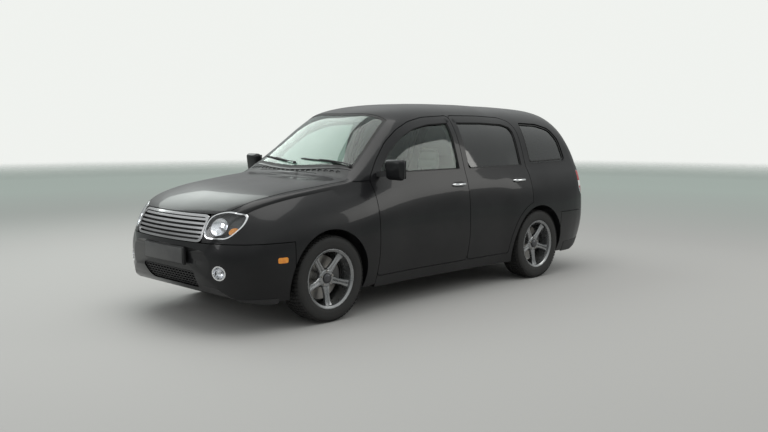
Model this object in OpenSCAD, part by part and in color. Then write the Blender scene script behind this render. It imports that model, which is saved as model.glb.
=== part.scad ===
// A compact family SUV with a tall rounded roof. Millimetres, +X forward, +Y left, +Z up.
// The origin is on the floor, under the middle of the body.

/* [Overall size] */
// Length from bumper to bumper
length = 4475; // [4300:5:4650]
// Width of the body, without mirrors
width = 1755; // [1700:5:1820]
// Height from the floor to the roof
height = 1656; // [1600:2:1720]
// Distance between the axles
wheelbase = 2628; // [2560:2:2680]
// Distance from the front axle to the front of the bumper
front_overhang = 907.5; // [880:0.5:930]

/* [Wheels] */
// Radius of the tyre
tyre_r = 327; // [310:1:335]
// Width of the tyre
tyre_w = 215; // [195:5:225]
// Radius of the rim's flange
rim_r = 228; // [205:1:235]
// Distance between the middles of the tyres on one axle
track = 1491; // [1470:1:1510]
// Radius of the wheel arch opening
arch_r = 375; // [365:1:390]
// Radius of the hub spindle
spindle_r = 30; // [25:1:35]
// Running clearance round the spindle
spindle_gap = 0.05; // [0.05:0.01:0.2]
// Number of wheel bolts
wheel_bolts = 5; // [4:1:6]
// Diameter of the circle that the wheel bolts lie on
bolt_circle = 110; // [100:1:120]
// Diameter of a wheel bolt hole
bolt_hole = 14; // [12:0.5:15]

/* [Steering] */
// Distance of each kingpin from the middle of the car
kingpin_y = 682; // [675:1:690]
// Radius of the kingpin
kingpin_r = 12; // [10:0.5:14]
// Clearance round the kingpin
kingpin_gap = 0.1; // [0.05:0.01:0.2]

/* [Panels] */
// Gap between two panels that meet
panel_gap = 6; // [5.5:0.5:7]
// Thickness of a door's outer skin and flange
skin_t = 12; // [10:1:14]
// Thickness of a whole door, and of the body wall
wall_t = 60; // [50:1:70]
// Clearance behind the door's flange, where its seal is
seal_gap = 0.8; // [0.5:0.1:0.9]
// Clearance between fixed pieces that are fastened together
fit_gap = 0.4; // [0.2:0.1:0.6]
// Width of the flange round a door
flange_w = 25; // [22:1:30]
// Thickness of the glass
glass_t = 5; // [4:0.5:6]
// How far the side glass lies below the outer skin
glass_depth = 14; // [13:1:18]
// Width of the frame round a door window
frame_w = 46; // [40:1:55]
// Thickness of the hood
hood_t = 22; // [18:1:28]
// Thickness of the roof with its lining
roof_t = 30; // [25:1:40]
// Thickness of a fender
fender_t = 14; // [10:1:18]
// Thickness of a bumper cover
bumper_t = 25; // [20:1:30]

/* [Hidden] */
LEFT = 1;
RIGHT = -1;
HALF_L = length / 2;
HALF_W = width / 2;
// The body table and the panel outlines are drawn for this size and scaled to the chosen one.
SX = length / 4475;
SY = width / 1755;
SZ = height / 1656;
FRONT_X = HALF_L - front_overhang;
REAR_X = FRONT_X - wheelbase;
WHEEL_Y = track / 2;

// Cross-sections of the body, from tail to nose: place along the car, underside, half width,
// height of the belt line, half width at the belt, top, how far the sides sweep back,
// how far the cabin leans in, and how round its corner is.
SECTIONS = [
    [-2237, 430, 560, 560, 540, 610, -90, 0.00, 0.60],
    [-2228, 380, 690, 640, 660, 710, -90, 0.00, 0.60],
    [-2200, 330, 770, 800, 720, 880, -90, 0.02, 0.58],
    [-2170, 290, 815, 960, 735, 1090, -90, 0.06, 0.55],
    [-2130, 262, 838, 1060, 745, 1250, -90, 0.12, 0.52],
    [-2060, 232, 850, 1085, 752, 1420, -70, 0.17, 0.50],
    [-1950, 205, 862, 1088, 757, 1545, -45, 0.20, 0.50],
    [-1750, 190, 872, 1085, 762, 1612, -20, 0.22, 0.50],
    [-1298, 190, 877, 1078, 768, 1640, 0, 0.22, 0.50],
    [-980, 190, 868, 1073, 769, 1648, 0, 0.22, 0.50],
    [-700, 190, 846, 1066, 770, 1656, 0, 0.22, 0.50],
    [-100, 190, 836, 1055, 768, 1653, 10, 0.22, 0.50],
    [350, 190, 836, 1045, 763, 1604, 60, 0.21, 0.50],
    [560, 190, 841, 1038, 758, 1516, 90, 0.20, 0.52],
    [800, 190, 855, 1030, 752, 1332, 105, 0.16, 0.55],
    [1000, 190, 868, 1015, 742, 1165, 105, 0.08, 0.62],
    [1110, 190, 873, 1002, 735, 1080, 95, 0.03, 0.68],
    [1330, 190, 877, 972, 722, 1052, 80, 0.00, 0.70],
    [1700, 190, 872, 925, 700, 1005, 100, 0.00, 0.70],
    [1950, 205, 845, 870, 665, 950, 125, 0.00, 0.70],
    [2090, 228, 800, 800, 625, 888, 140, 0.00, 0.70],
    [2170, 262, 740, 720, 590, 810, 150, 0.00, 0.70],
    [2215, 320, 650, 640, 540, 720, 150, 0.00, 0.70],
    [2237, 400, 520, 560, 480, 610, 150, 0.00, 0.70]];
SUBSTEPS = 1;
LOW_STEPS = 5;
TOP_STEPS = 6;
TUCK = 0.09;
WIDEST = 0.45;
END_POWER = 6;
RING = 2 * (LOW_STEPS + TOP_STEPS);

// A smooth curve through the rows of a table, at a place counted in rows.
function clamp_row(i) = SECTIONS[max(0, min(len(SECTIONS) - 1, i))];
function spline(a, b, c, d, u) =
    0.5 * (2 * b + (c - a) * u + (2 * a - 5 * b + 4 * c - d) * u * u
        + (3 * b - a - 3 * c + d) * u * u * u);
function section(s) = let (i = min(floor(s), len(SECTIONS) - 2))
    spline(clamp_row(i - 1), clamp_row(i), clamp_row(i + 1), clamp_row(i + 2), s - i);

// Half width of the side below the belt, where t runs from the underside to the belt.
function side_y(w, belt_w, t) = t < WIDEST
    ? w * (1 - TUCK * pow((WIDEST - t) / WIDEST, 2))
    : w - (w - belt_w) * pow((t - WIDEST) / (1 - WIDEST), 3);

// The left half of one cross-section, a given depth under the skin, from bottom to top.
function half_ring(r, depth) = let (
        low = r[1] + depth, w = r[2] - depth, belt = r[3], belt_w = r[4] - depth,
        top = r[5] - depth)
    concat(
        [for (i = [0:LOW_STEPS - 1]) let (t = i / LOW_STEPS)
            [side_y(w, belt_w, t), low + (belt - low) * t]],
        [for (i = [0:TOP_STEPS - 1]) let (a = 90 * i / (TOP_STEPS - 0.5),
                up = pow(sin(a), r[8]))
            [belt_w * pow(cos(a), r[8]) * (1 - r[7] * up), belt + (top - belt) * up]]);
function place(r, depth, y, z) = let (end = pow(abs(r[0]) / 2237.5, END_POWER))
    [SX * (r[0] - sign(r[0]) * depth * end - r[6] * pow(y / 877, 2)), SY * y, SZ * z];
function ring(r, depth) = let (half = half_ring(r, depth), n = len(half))
    concat([for (p = half) place(r, depth, p[0], p[1])],
        [for (i = [0:n - 1]) place(r, depth, -half[n - 1 - i][0], half[n - 1 - i][1])]);

// The whole outside of the body as one closed solid, a given depth under the skin.
module body_solid(depth) {
    rings = [for (s = [0:(len(SECTIONS) - 1) * SUBSTEPS]) ring(section(s / SUBSTEPS), depth)];
    n = len(rings);
    points = [for (r = rings) each r];
    tail = n * RING;
    nose = tail + 1;
    middle = [for (e = [0, n - 1]) (rings[e][0] + rings[e][RING / 2]) / 2];
    sides = [for (i = [0:n - 2], j = [0:RING - 1]) let (k = (j + 1) % RING,
            a = i * RING + j, b = i * RING + k, c = a + RING, d = b + RING)
        each j < RING / 2 ? [[a, d, b], [a, c, d]] : [[a, c, b], [b, c, d]]];
    ends = [for (j = [0:RING - 1]) let (k = (j + 1) % RING)
        each [[tail, j, k], [nose, (n - 1) * RING + k, (n - 1) * RING + j]]];
    polyhedron(concat(points, [[rings[0][0][0], 0, middle[0][2]],
        [rings[n - 1][0][0], 0, middle[1][2]]]), concat(sides, ends));
}

// ---- Ways to bound a panel. Outlines are drawn on the design size and scaled with the body.
BIG = 3000;
// (x, z) outline seen from the side, on the left or right half of the car
module from_side(side) mirror([0, side == LEFT ? 0 : 1, 0]) scale([SX, SY, SZ])
    translate([0, BIG, 0]) rotate([90, 0, 0]) linear_extrude(BIG) children();
// (x, y) outline seen from above
module from_above(floor_z = 700) scale([SX, SY, SZ]) translate([0, 0, floor_z])
    linear_extrude(BIG) children();
// (y, z) outline seen from the front, kept ahead of a place along the car
module from_front(ahead) scale([SX, SY, SZ]) translate([ahead, 0, 0]) rotate([90, 0, 90])
    linear_extrude(BIG) children();
// (y, z) outline seen from behind, kept behind a place along the car
module from_behind(behind) scale([SX, SY, SZ]) translate([behind - BIG, 0, 0])
    rotate([90, 0, 90]) linear_extrude(BIG) children();
module both_sides() for (side = [LEFT, RIGHT]) from_side(side) children();
module shell(outer, inner) difference() {
    body_solid(outer);
    body_solid(inner);
}
// Work on the body's surface stays one mesh.
module surface_piece() resize([0, 0, 0]) children();
module rounded(r) offset(r, $fn = 16) offset(delta = -r) children();
module mirrored_y() { children(); mirror([0, 1, 0]) children(); }
module axle_cylinder(x, r, y_in) for (side = [0, 1]) mirror([0, side, 0])
    translate([x, BIG, tyre_r]) rotate([90, 0, 0]) cylinder(r = r, h = BIG - y_in, $fn = 60);

// ---- Panel outlines
DOOR_FLOOR = 285;
DOOR_FRONT = 830;
DOOR_SPLIT = -290;
DOOR_REAR = -1180;
BELT_Z = 1072;
ARCH_CLEAR = 430;
QUARTER_FRONT = -1262;
module front_door_outline(grow = 0) offset(delta = grow) rounded(30)
    polygon([[DOOR_FRONT, DOOR_FLOOR], [DOOR_FRONT, 1050], [715, 1178], [560, 1322],
        [400, 1427], [230, 1492], [40, 1528], [DOOR_SPLIT, 1545], [DOOR_SPLIT, DOOR_FLOOR]]);
module rear_door_outline(grow = 0) offset(delta = grow) rounded(30) difference() {
    polygon([[DOOR_SPLIT - panel_gap, DOOR_FLOOR], [DOOR_SPLIT - panel_gap, 1545],
        [-700, 1543], [-1010, 1528], [-1130, 1490], [DOOR_REAR, 1412], [DOOR_REAR, DOOR_FLOOR]]);
    translate([REAR_X / SX, tyre_r / SZ]) circle(r = ARCH_CLEAR, $fn = 60);
}
module quarter_outline(grow = 0) offset(delta = grow) rounded(35)
    polygon([[QUARTER_FRONT, 1100], [QUARTER_FRONT, 1485], [-1560, 1473], [-1745, 1430],
        [-1840, 1325], [-1868, 1110]]);
// The window of a door is what its frame leaves above the belt.
module door_window(grow = 0) offset(delta = grow) rounded(22) intersection() {
    offset(delta = -frame_w) children();
    translate([-BIG, BELT_Z]) square([2 * BIG, BIG]);
}
module windshield_outline(grow = 0) offset(delta = grow)
    polygon(concat([for (y = [-640:128:640]) [1052 - 120 * pow(y / 640, 2), y]],
        [for (y = [510:-102:-510]) [478 - 62 * pow(y / 510, 2), y]]));
module roof_outline(grow = 0) offset(delta = grow)
    polygon(concat([for (y = [-510:102:510]) [466 - 62 * pow(y / 510, 2), y]],
        [[-700, 508], [-1500, 500], [-1893, 478], [-1893, -478], [-1500, -500], [-700, -508]]));
module cowl_outline() polygon(concat(
        [for (y = [-690:138:690]) [1078 - 28 * pow(y / 690, 2), y]],
        [for (y = [640:-128:-640]) [1064 - 120 * pow(y / 640, 2), y]]));
module hood_outline(grow = 0) offset(delta = grow)
    polygon(concat([for (y = [-690:138:690]) [1085 - 30 * pow(y / 690, 2), y]],
        [[1330, 676], [1700, 640], [1950, 590], [2110, 520], [2300, 480]],
        [[2300, -480], [2110, -520], [1950, -590], [1700, -640], [1330, -676]]));
HOOD_LIP = 842;
BUMPER_TOP = 640;
BUMPER_REAR_TOP = 610;
module lamp_outline(grow = 0) offset(delta = grow) rounded(35)
    polygon([[452, 676], [448, 832], [560, 868], [668, 842], [690, 760], [640, 676]]);
module intake_outline() rounded(30)
    polygon([[-330, 300], [330, 300], [360, 430], [-360, 430]]);
module fog_outline(grow = 0) mirrored_2d() translate([600, 440]) circle(r = 52 + grow, $fn = 32);
module mirrored_2d() { children(); mirror([1, 0]) children(); }
module tail_lamp_outline(grow = 0) offset(delta = grow) mirrored_2d()
    rounded(60) polygon([[668, 740], [668, 1010], [840, 1010], [840, 740]]);
module tailgate_outline(grow = 0) offset(delta = grow) rounded(45)
    polygon([[-650, 618], [650, 618], [655, 1030], [600, 1300], [500, 1640], [-500, 1640],
        [-600, 1300], [-655, 1030]]);
module rear_window_outline(grow = 0) offset(delta = grow) rounded(50)
    polygon([[-590, 1075], [590, 1075], [520, 1330], [450, 1480], [-450, 1480], [-520, 1330]]);
TAILGATE_FRONT = -1900;
FRONT_BUMPER_X = 1680;
REAR_BUMPER_X = -1650;
UNDERTRAY_X = -2140;
FLOOR_HALF = 700;
PANEL_FLOOR = 216;
module front_bumper_side() polygon([[FRONT_BUMPER_X, PANEL_FLOOR], [FRONT_BUMPER_X, BUMPER_TOP],
    [BIG, BUMPER_TOP], [BIG, PANEL_FLOOR]]);
module rear_bumper_side(bottom = PANEL_FLOOR) polygon([[REAR_BUMPER_X, bottom],
    [REAR_BUMPER_X, BUMPER_REAR_TOP], [-BIG, BUMPER_REAR_TOP], [-BIG, bottom]]);
// The fender reaches from the door to the bumper, under the windshield pillar.
PILLAR_X = 1006;
PILLAR_Z = 1028;
module fender_side() polygon([[DOOR_FRONT + panel_gap, PANEL_FLOOR], [DOOR_FRONT + panel_gap, PILLAR_Z],
    [PILLAR_X, PILLAR_Z], [PILLAR_X, BIG], [BIG, BIG], [BIG, BUMPER_TOP + panel_gap],
    [FRONT_BUMPER_X - panel_gap, BUMPER_TOP + panel_gap],
    [FRONT_BUMPER_X - panel_gap, PANEL_FLOOR]]);

// ---- What cuts or trims the panels
SILL_Z = 190;
FLOOR_TOP = SILL_Z + wall_t;
REAR_FLOOR_Z = 330;
RISER_X = -1040;
RISER_T = 20;
FRONT_LINER_R = 400;
REAR_LINER_R = 386;
LINER_T = 6;
APRON_Y = 440;
REAR_LINER_Y = 596;
module outer_layer(depth) difference() {
    children();
    body_solid(depth);
}
module inner_layer(depth) intersection() {
    children();
    body_solid(depth);
}
module below(z) translate([-BIG, -BIG, z - BIG]) cube([2 * BIG, 2 * BIG, BIG]);
module above(z) translate([-BIG, -BIG, z]) cube([2 * BIG, 2 * BIG, BIG]);
module floor_outline(grow = 0) offset(delta = grow)
    polygon([[-2120, 640], [-1900, 700], [PILLAR_X, 700], [PILLAR_X, -700], [-1900, -700],
        [-2120, -640]]);
module wheelhouses(gap) {
    axle_cylinder(FRONT_X, FRONT_LINER_R + LINER_T + gap, APRON_Y);
    axle_cylinder(REAR_X, REAR_LINER_R + LINER_T + gap, REAR_LINER_Y - LINER_T - gap);
}
module arch_openings() for (x = [FRONT_X, REAR_X]) axle_cylinder(x, arch_r, 600);
module hood_region(grow = 0) intersection() {
    from_above() hood_outline(grow);
    above((HOOD_LIP - grow) * SZ);
}
GRILLE_HALF = 446;
module grille_region(grow = 0) from_front(1800)
    translate([-GRILLE_HALF - grow, BUMPER_TOP + panel_gap])
        square([2 * (GRILLE_HALF + grow), HOOD_LIP - BUMPER_TOP - 2 * panel_gap + grow]);

// ---- Fixed body panels
module body_sides() color("black") surface_piece() difference() {
    shell(0, wall_t);
    outer_layer(skin_t + seal_gap) both_sides() {
        front_door_outline(panel_gap);
        rear_door_outline(panel_gap);
    }
    both_sides() {
        front_door_outline(panel_gap - flange_w);
        rear_door_outline(panel_gap - flange_w);
        quarter_outline(-skin_t);
        polygon([[PILLAR_X, 0], [PILLAR_X, BIG], [BIG, BIG], [BIG, 0]]);
    }
    outer_layer(glass_depth + glass_t + fit_gap) both_sides() quarter_outline(fit_gap);
    outer_layer(fender_t + fit_gap) both_sides()
        polygon([[DOOR_FRONT, 0], [DOOR_FRONT, PILLAR_Z + panel_gap],
            [PILLAR_X, PILLAR_Z + panel_gap], [PILLAR_X, 0]]);
    outer_layer(bumper_t + fit_gap) both_sides() offset(delta = panel_gap) rear_bumper_side(0);
    outer_layer(2 * glass_t + fit_gap) from_above() windshield_outline(fit_gap);
    from_above() windshield_outline(-flange_w);
    from_above() offset(delta = fit_gap) cowl_outline();
    outer_layer(roof_t + fit_gap) from_above() roof_outline(fit_gap);
    from_above() roof_outline(-flange_w);
    outer_layer(wall_t / 2) from_behind(TAILGATE_FRONT + panel_gap) tailgate_outline(panel_gap);
    from_behind(TAILGATE_FRONT + panel_gap) tailgate_outline(panel_gap - flange_w);
    outer_layer(bumper_t + fit_gap) from_behind(-2000) tail_lamp_outline(fit_gap);
    intersection() {
        from_above(0) floor_outline(fit_gap);
        below(REAR_FLOOR_Z + wall_t);
    }
    arch_openings();
    inner_layer(fender_t) wheelhouses(fit_gap);
}
module floor_pan() color("dimgray") surface_piece() difference() {
    intersection() {
        body_solid(0);
        from_above(0) floor_outline();
        union() {
            translate([RISER_X, -BIG / 2, 0]) cube([BIG, BIG, FLOOR_TOP]);
            translate([RISER_X, -BIG / 2, 0]) cube([RISER_T, BIG, REAR_FLOOR_Z + wall_t]);
            translate([RISER_X - BIG, -BIG / 2, REAR_FLOOR_Z]) cube([BIG, BIG, wall_t]);
        }
    }
    wheelhouses(fit_gap);
}
module roof_panel() color("black") surface_piece() intersection() {
    shell(0, roof_t);
    from_above() roof_outline();
}
// The cowl under the wipers, and the wall between engine and cabin below it
FIREWALL_T = 16;
module firewall() color("dimgray") surface_piece() difference() {
    union() {
        intersection() {
            shell(4, bumper_t);
            from_above() cowl_outline();
        }
        intersection() {
            body_solid(bumper_t - 1);
            translate([PILLAR_X + fit_gap, -BIG / 2, 0]) cube([FIREWALL_T, BIG, BIG]);
            below(PILLAR_Z + 2 * wall_t);
            above(PANEL_FLOOR);
        }
    }
    wheelhouses(fit_gap);
}
module windshield() color("lightblue") surface_piece() intersection() {
    shell(glass_t, 2 * glass_t);
    from_above() windshield_outline();
}
module quarter_glass() color("darkslategray") surface_piece() intersection() {
    shell(glass_depth, glass_depth + glass_t);
    both_sides() quarter_outline();
}
FENDER_FLANGE = 30;
LEDGE_FRONT = 2040;
LEDGE_REAR = 1200;
LEDGE_T = 8;
// The rail that the hood's edge closes on
module hood_ledge() intersection() {
    difference() {
        union() {
            shell(hood_t + fit_gap, hood_t + fit_gap + LEDGE_T);
            difference() {
                shell(0, hood_t + fit_gap + LEDGE_T);
                from_above() hood_outline(panel_gap);
            }
        }
        from_above() hood_outline(-FENDER_FLANGE / 2);
    }
    from_above() hood_outline(panel_gap + LEDGE_T);
    translate([LEDGE_REAR, -BIG / 2, BUMPER_TOP]) cube([LEDGE_FRONT - LEDGE_REAR, BIG, BIG]);
}
module fender_panels() {
        intersection() {
            shell(0, fender_t);
            both_sides() fender_side();
        }
        intersection() {
            shell(bumper_t + fit_gap, 2 * bumper_t);
            translate([FRONT_X + arch_r, -BIG / 2, BUMPER_TOP - FENDER_FLANGE])
                cube([BIG, BIG, 2 * FENDER_FLANGE]);
        }
        intersection() {
            shell(0, 2 * bumper_t);
            translate([FRONT_X + arch_r, -BIG / 2, BUMPER_TOP + panel_gap])
                cube([BIG, BIG, FENDER_FLANGE - panel_gap]);
        }
}
module front_fenders() color("black") surface_piece() difference() {
    union() {
        difference() {
            fender_panels();
            hood_region(panel_gap);
        }
        hood_ledge();
    }
    from_above() windshield_outline(fit_gap);
    from_above() offset(delta = fit_gap) cowl_outline();
    from_front(1500) mirrored_2d() lamp_outline(fit_gap);
    grille_region(fit_gap);
    arch_openings();
    inner_layer(fender_t) wheelhouses(fit_gap);
}
module front_bumper() color("black") surface_piece() difference() {
    intersection() {
        shell(0, bumper_t);
        both_sides() front_bumper_side();
    }
    from_front(1800) intake_outline();
    from_front(1800) fog_outline(fit_gap);
    translate([1800, TOW_Y, TOW_Z]) rotate([0, 90, 0])
        cylinder(r = TOW_COVER_R, h = BIG, $fn = 32);
    arch_openings();
    inner_layer(fender_t) wheelhouses(fit_gap);
}
module rear_bumper() color("black") surface_piece() difference() {
    intersection() {
        shell(0, bumper_t);
        both_sides() rear_bumper_side();
    }
    translate([UNDERTRAY_X, -FLOOR_HALF, 0]) cube([BIG, 2 * FLOOR_HALF, BUMPER_REAR_TOP]);
    arch_openings();
    inner_layer(fender_t) wheelhouses(fit_gap);
}
// Horizontal bars between the lamps
GRILLE_BARS = 6;
GRILLE_T = 20;
module grille() color("silver") surface_piece() difference() {
    intersection() {
        shell(3, 3 + GRILLE_T);
        grille_region();
    }
    from_front(1800) mirrored_2d() lamp_outline(fit_gap);
    pitch = (HOOD_LIP - BUMPER_TOP - 40) / GRILLE_BARS;
    from_front(1800) for (i = [0:GRILLE_BARS - 1])
        translate([-GRILLE_HALF + 45, BUMPER_TOP + 25 + pitch * i])
            square([2 * GRILLE_HALF - 90, pitch - 12]);
}
module front_lamps() color("whitesmoke") surface_piece() intersection() {
    shell(1, 2 * bumper_t);
    from_front(1500) {
        mirrored_2d() lamp_outline();
        fog_outline();
    }
}
module tail_lamps() color("red") surface_piece() difference() {
    intersection() {
        shell(0, bumper_t);
        from_behind(-2000) tail_lamp_outline();
    }
    from_behind(TAILGATE_FRONT) tailgate_outline(panel_gap);
}

// ---- Moving panels
module hood() color("black") surface_piece() difference() {
    intersection() {
        shell(0, hood_t);
        hood_region();
    }
    from_front(1500) mirrored_2d() lamp_outline(panel_gap);
}
module tailgate() color("black") surface_piece() difference() {
    intersection() {
        shell(0, wall_t / 2 - seal_gap);
        from_behind(TAILGATE_FRONT) tailgate_outline();
    }
    intersection() {
        shell(wall_t / 2 - 2, wall_t);
        from_behind(TAILGATE_FRONT) tailgate_outline(-flange_w);
    }
    outer_layer(glass_depth + glass_t + fit_gap) from_behind(TAILGATE_FRONT)
        rear_window_outline(fit_gap);
    from_behind(TAILGATE_FRONT) rear_window_outline(-skin_t);
    outer_layer(bumper_t + panel_gap) both_sides() offset(delta = panel_gap) rear_bumper_side(0);
}
module tailgate_glass() color("darkslategray") surface_piece() intersection() {
    shell(glass_depth, glass_depth + glass_t);
    from_behind(TAILGATE_FRONT) rear_window_outline();
}
// A door is a skin with a flange, and a thick inner part that fits in the opening.
module door_shell() {
    intersection() {
        shell(0, skin_t);
        children(0);
    }
    intersection() {
        shell(skin_t - 2, wall_t);
        children(1);
    }
}
module door_cut() {
    outer_layer(glass_depth + glass_t + fit_gap) children(0);
    children(1);
}
module front_door(side) color("black") surface_piece() difference() {
    door_shell() {
        from_side(side) front_door_outline();
        from_side(side) front_door_outline(-flange_w);
    }
    door_cut() {
        from_side(side) door_window(fit_gap) front_door_outline();
        from_side(side) door_window(-skin_t) front_door_outline();
    }
}
module rear_door(side) color("black") surface_piece() difference() {
    door_shell() {
        from_side(side) rear_door_outline();
        from_side(side) rear_door_outline(-flange_w);
    }
    door_cut() {
        from_side(side) door_window(fit_gap) rear_door_outline();
        from_side(side) door_window(-skin_t) rear_door_outline();
    }
    inner_layer(fender_t) wheelhouses(panel_gap);
}
module door_glass(side, tint) color(tint) surface_piece() intersection() {
    shell(glass_depth, glass_depth + glass_t);
    from_side(side) door_window() children();
}
module front_glass(side) door_glass(side, "lightblue") front_door_outline();
module rear_glass(side) door_glass(side, "darkslategray") rear_door_outline();

// ---- Inside and underneath
FIREWALL_FRONT = PILLAR_X + fit_gap + FIREWALL_T;
SUPPORT_X = 2030;
CROSSMEMBER_TOP = 300;
APRON_T = 20;
APRON_FLOOR = 240;
// The aprons rise to this height over the bumper's underside
APRON_NOSE = 280;
APRON_TOP = 800;
BEAM_HALF = 480;
TOW_Y = 380;
TOW_Z = 490;
TOW_R = 9;
TOW_COVER_R = 22;
module engine_bay() color("dimgray") difference() {
    union() {
        mirrored_y() translate([FIREWALL_FRONT + fit_gap, APRON_Y - APRON_T, APRON_FLOOR])
            cube([SUPPORT_X - FIREWALL_FRONT - fit_gap, APRON_T, APRON_TOP - APRON_FLOOR]);
        for (z = [APRON_NOSE, 740]) translate([SUPPORT_X - 40, -APRON_Y + 1, z])
            cube([40, 2 * APRON_Y - 2, 60]);
        translate([SUPPORT_X - 1, -BEAM_HALF, 440]) cube([91, 2 * BEAM_HALF, 100]);
    }
    translate([FRONT_BUMPER_X, -BIG / 2, 0]) cube([BIG, BIG, APRON_NOSE]);
    translate([SUPPORT_X, TOW_Y, TOW_Z]) rotate([0, 90, 0])
        cylinder(r = TOW_R, h = 200, $fn = 32);
}
module engine_block() color("gray") translate([1130, -360, CROSSMEMBER_TOP + fit_gap])
    cube([660, 720, 500]);
module liner(x, r, y_in) translate([x, y_in, tyre_r]) rotate([-90, 0, 0]) difference() {
    cylinder(r = r + LINER_T, h = HALF_W, $fn = 60);
    translate([0, 0, y_in == APRON_Y + fit_gap ? -1 : LINER_T])
        cylinder(r = r, h = HALF_W + 2, $fn = 60);
}
module arch_liners() color("dimgray") surface_piece() intersection() {
    body_solid(fender_t + fit_gap);
    mirrored_y() {
        liner(FRONT_X, FRONT_LINER_R, APRON_Y + fit_gap);
        liner(REAR_X, REAR_LINER_R, REAR_LINER_Y - LINER_T);
    }
    above(REAR_FLOOR_Z + 20);
}
WHEEL_X = 470;
DRIVER_Y = 370;
module dashboard() color("dimgray") {
    translate([0, 620, 0]) rotate([90, 0, 0]) linear_extrude(1240)
        polygon([[PILLAR_X, 700], [PILLAR_X, 1000], [900, 1030], [720, 1010], [640, 940],
            [660, 820], [760, 700]]);
    translate([WHEEL_X, DRIVER_Y, 960]) rotate([0, 115, 0]) {
        translate([0, 0, -10]) cylinder(r = 55, h = 50, $fn = 32);
        cylinder(r = 30, h = 260, $fn = 24);
        rotate_extrude($fn = 48) translate([180, 0]) circle(r = 15, $fn = 16);
        for (a = [90, 210, 330]) rotate([0, 0, a]) translate([0, -15, -6]) cube([170, 30, 12]);
    }
}
module slab(x0, x1, half, z0, z1, r) hull() for (x = [x0 + r, x1 - r], y = [r - half, half - r],
    z = [z0 + r, z1 - r]) translate([x, y, z]) sphere(r = r, $fn = 12);
module seat(half, back_half) {
    slab(-60, 440, half, 350, 480, 40);
    translate([-30, 0, 430]) rotate([0, -14, 0]) slab(-90, 30, back_half, 0, 620, 40);
    translate([-20, 0, FLOOR_TOP + fit_gap]) translate([0, -half + 60, 0])
        cube([400, 2 * half - 120, 110]);
}
module headrest() translate([-200, 0, 1020]) rotate([0, -10, 0]) {
    slab(-80, 0, 125, 40, 220, 30);
    translate([-50, -60, -30]) cube([12, 120, 90]);
}
module front_seats() color("gray") surface_piece() mirrored_y() translate([0, DRIVER_Y, 0]) {
    seat(250, 240);
    headrest();
}
REAR_SEAT_X = -760;
module rear_seat() color("gray") surface_piece() translate([REAR_SEAT_X, 0, 0]) {
    seat(560, 560);
    for (y = [-330, 330]) translate([0, y, 0]) headrest();
}
PIPE_R = 25;
PIPE_Y = -200;
PIPE_Z = 155;
PIPE_FRONT = 860;
MUFFLER_X = -2060;
MUFFLER_L = 340;
MUFFLER_FLOOR = 125;
module exhaust() color("silver") {
    translate([MUFFLER_X + MUFFLER_L - 10, PIPE_Y, PIPE_Z]) rotate([0, 90, 0])
        cylinder(r = PIPE_R, h = PIPE_FRONT - MUFFLER_X - MUFFLER_L + 10, $fn = 24);
    for (x = [-500, 200]) translate([x - 8, PIPE_Y - 8, PIPE_Z + 10])
        cube([16, 16, SILL_Z - PIPE_Z - 10 - fit_gap]);
    translate([MUFFLER_X, -560, MUFFLER_FLOOR])
        cube([MUFFLER_L, 460, REAR_FLOOR_Z - MUFFLER_FLOOR - fit_gap]);
    translate([-2130, -480, 190]) rotate([0, 90, 0]) cylinder(r = 24, h = 100, $fn = 32);
}
module fuel_tank() color("dimgray") translate([-990, -130, 135])
    cube([380, 560, SILL_Z - 135 - fit_gap]);

// ---- Suspension, steering and wheels
ARM_T = 18;
LOWER_ARM_Z = 172;
UPPER_ARM_Z = 700;
EYE_R = 24;
ARM_CLEAR = 7;
KNUCKLE_T = 30;
KNUCKLE_Y = 598;
module arm(z, y_in) difference() {
    union() {
        translate([FRONT_X - EYE_R, y_in, z]) cube([2 * EYE_R, kingpin_y - y_in, ARM_T]);
        translate([FRONT_X, kingpin_y, z]) cylinder(r = EYE_R, h = ARM_T, $fn = 48);
    }
    translate([FRONT_X, kingpin_y, z - 1])
        cylinder(r = kingpin_r + kingpin_gap, h = ARM_T + 2, $fn = 48);
}
module front_suspension() color("dimgray") {
    mirrored_y() {
        arm(LOWER_ARM_Z, 200);
        arm(UPPER_ARM_Z, APRON_Y + fit_gap);
    }
    half = APRON_Y - APRON_T - fit_gap;
    translate([FRONT_X - 70, -half, LOWER_ARM_Z]) cube([140, 2 * half, CROSSMEMBER_TOP - LOWER_ARM_Z]);
}
HUB_FACE_Y = 716;
SPINDLE_END = 60;
module spindle(y_from) translate([0, y_from, 0]) rotate([-90, 0, 0])
    cylinder(r = spindle_r, h = WHEEL_Y + SPINDLE_END - y_from, $fn = 64);
module knuckle(side) color("gray") mirror([0, side == LEFT ? 0 : 1, 0]) {
    low = LOWER_ARM_Z + ARM_T + ARM_CLEAR;
    top = UPPER_ARM_Z - ARM_CLEAR;
    translate([FRONT_X - KNUCKLE_T, KNUCKLE_Y, low]) cube([2 * KNUCKLE_T, KNUCKLE_T, top - low]);
    translate([FRONT_X - 22, KNUCKLE_Y, low]) cube([44, kingpin_y + 18 - KNUCKLE_Y, 20]);
    translate([FRONT_X - 22, KNUCKLE_Y, top - 28]) cube([44, kingpin_y + 18 - KNUCKLE_Y, 28]);
    translate([FRONT_X, kingpin_y, LOWER_ARM_Z - 3])
        cylinder(r = kingpin_r, h = low - LOWER_ARM_Z + 10, $fn = 48);
    translate([FRONT_X, kingpin_y, top - 10])
        cylinder(r = kingpin_r, h = ARM_CLEAR + ARM_T + 12, $fn = 48);
    translate([FRONT_X, 0, tyre_r]) {
        translate([0, KNUCKLE_Y, 0]) rotate([-90, 0, 0])
            cylinder(r = 70, h = HUB_FACE_Y - 10 - KNUCKLE_Y, $fn = 48);
        spindle(KNUCKLE_Y);
    }
}
BEAM_X = REAR_X + 150;
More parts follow.
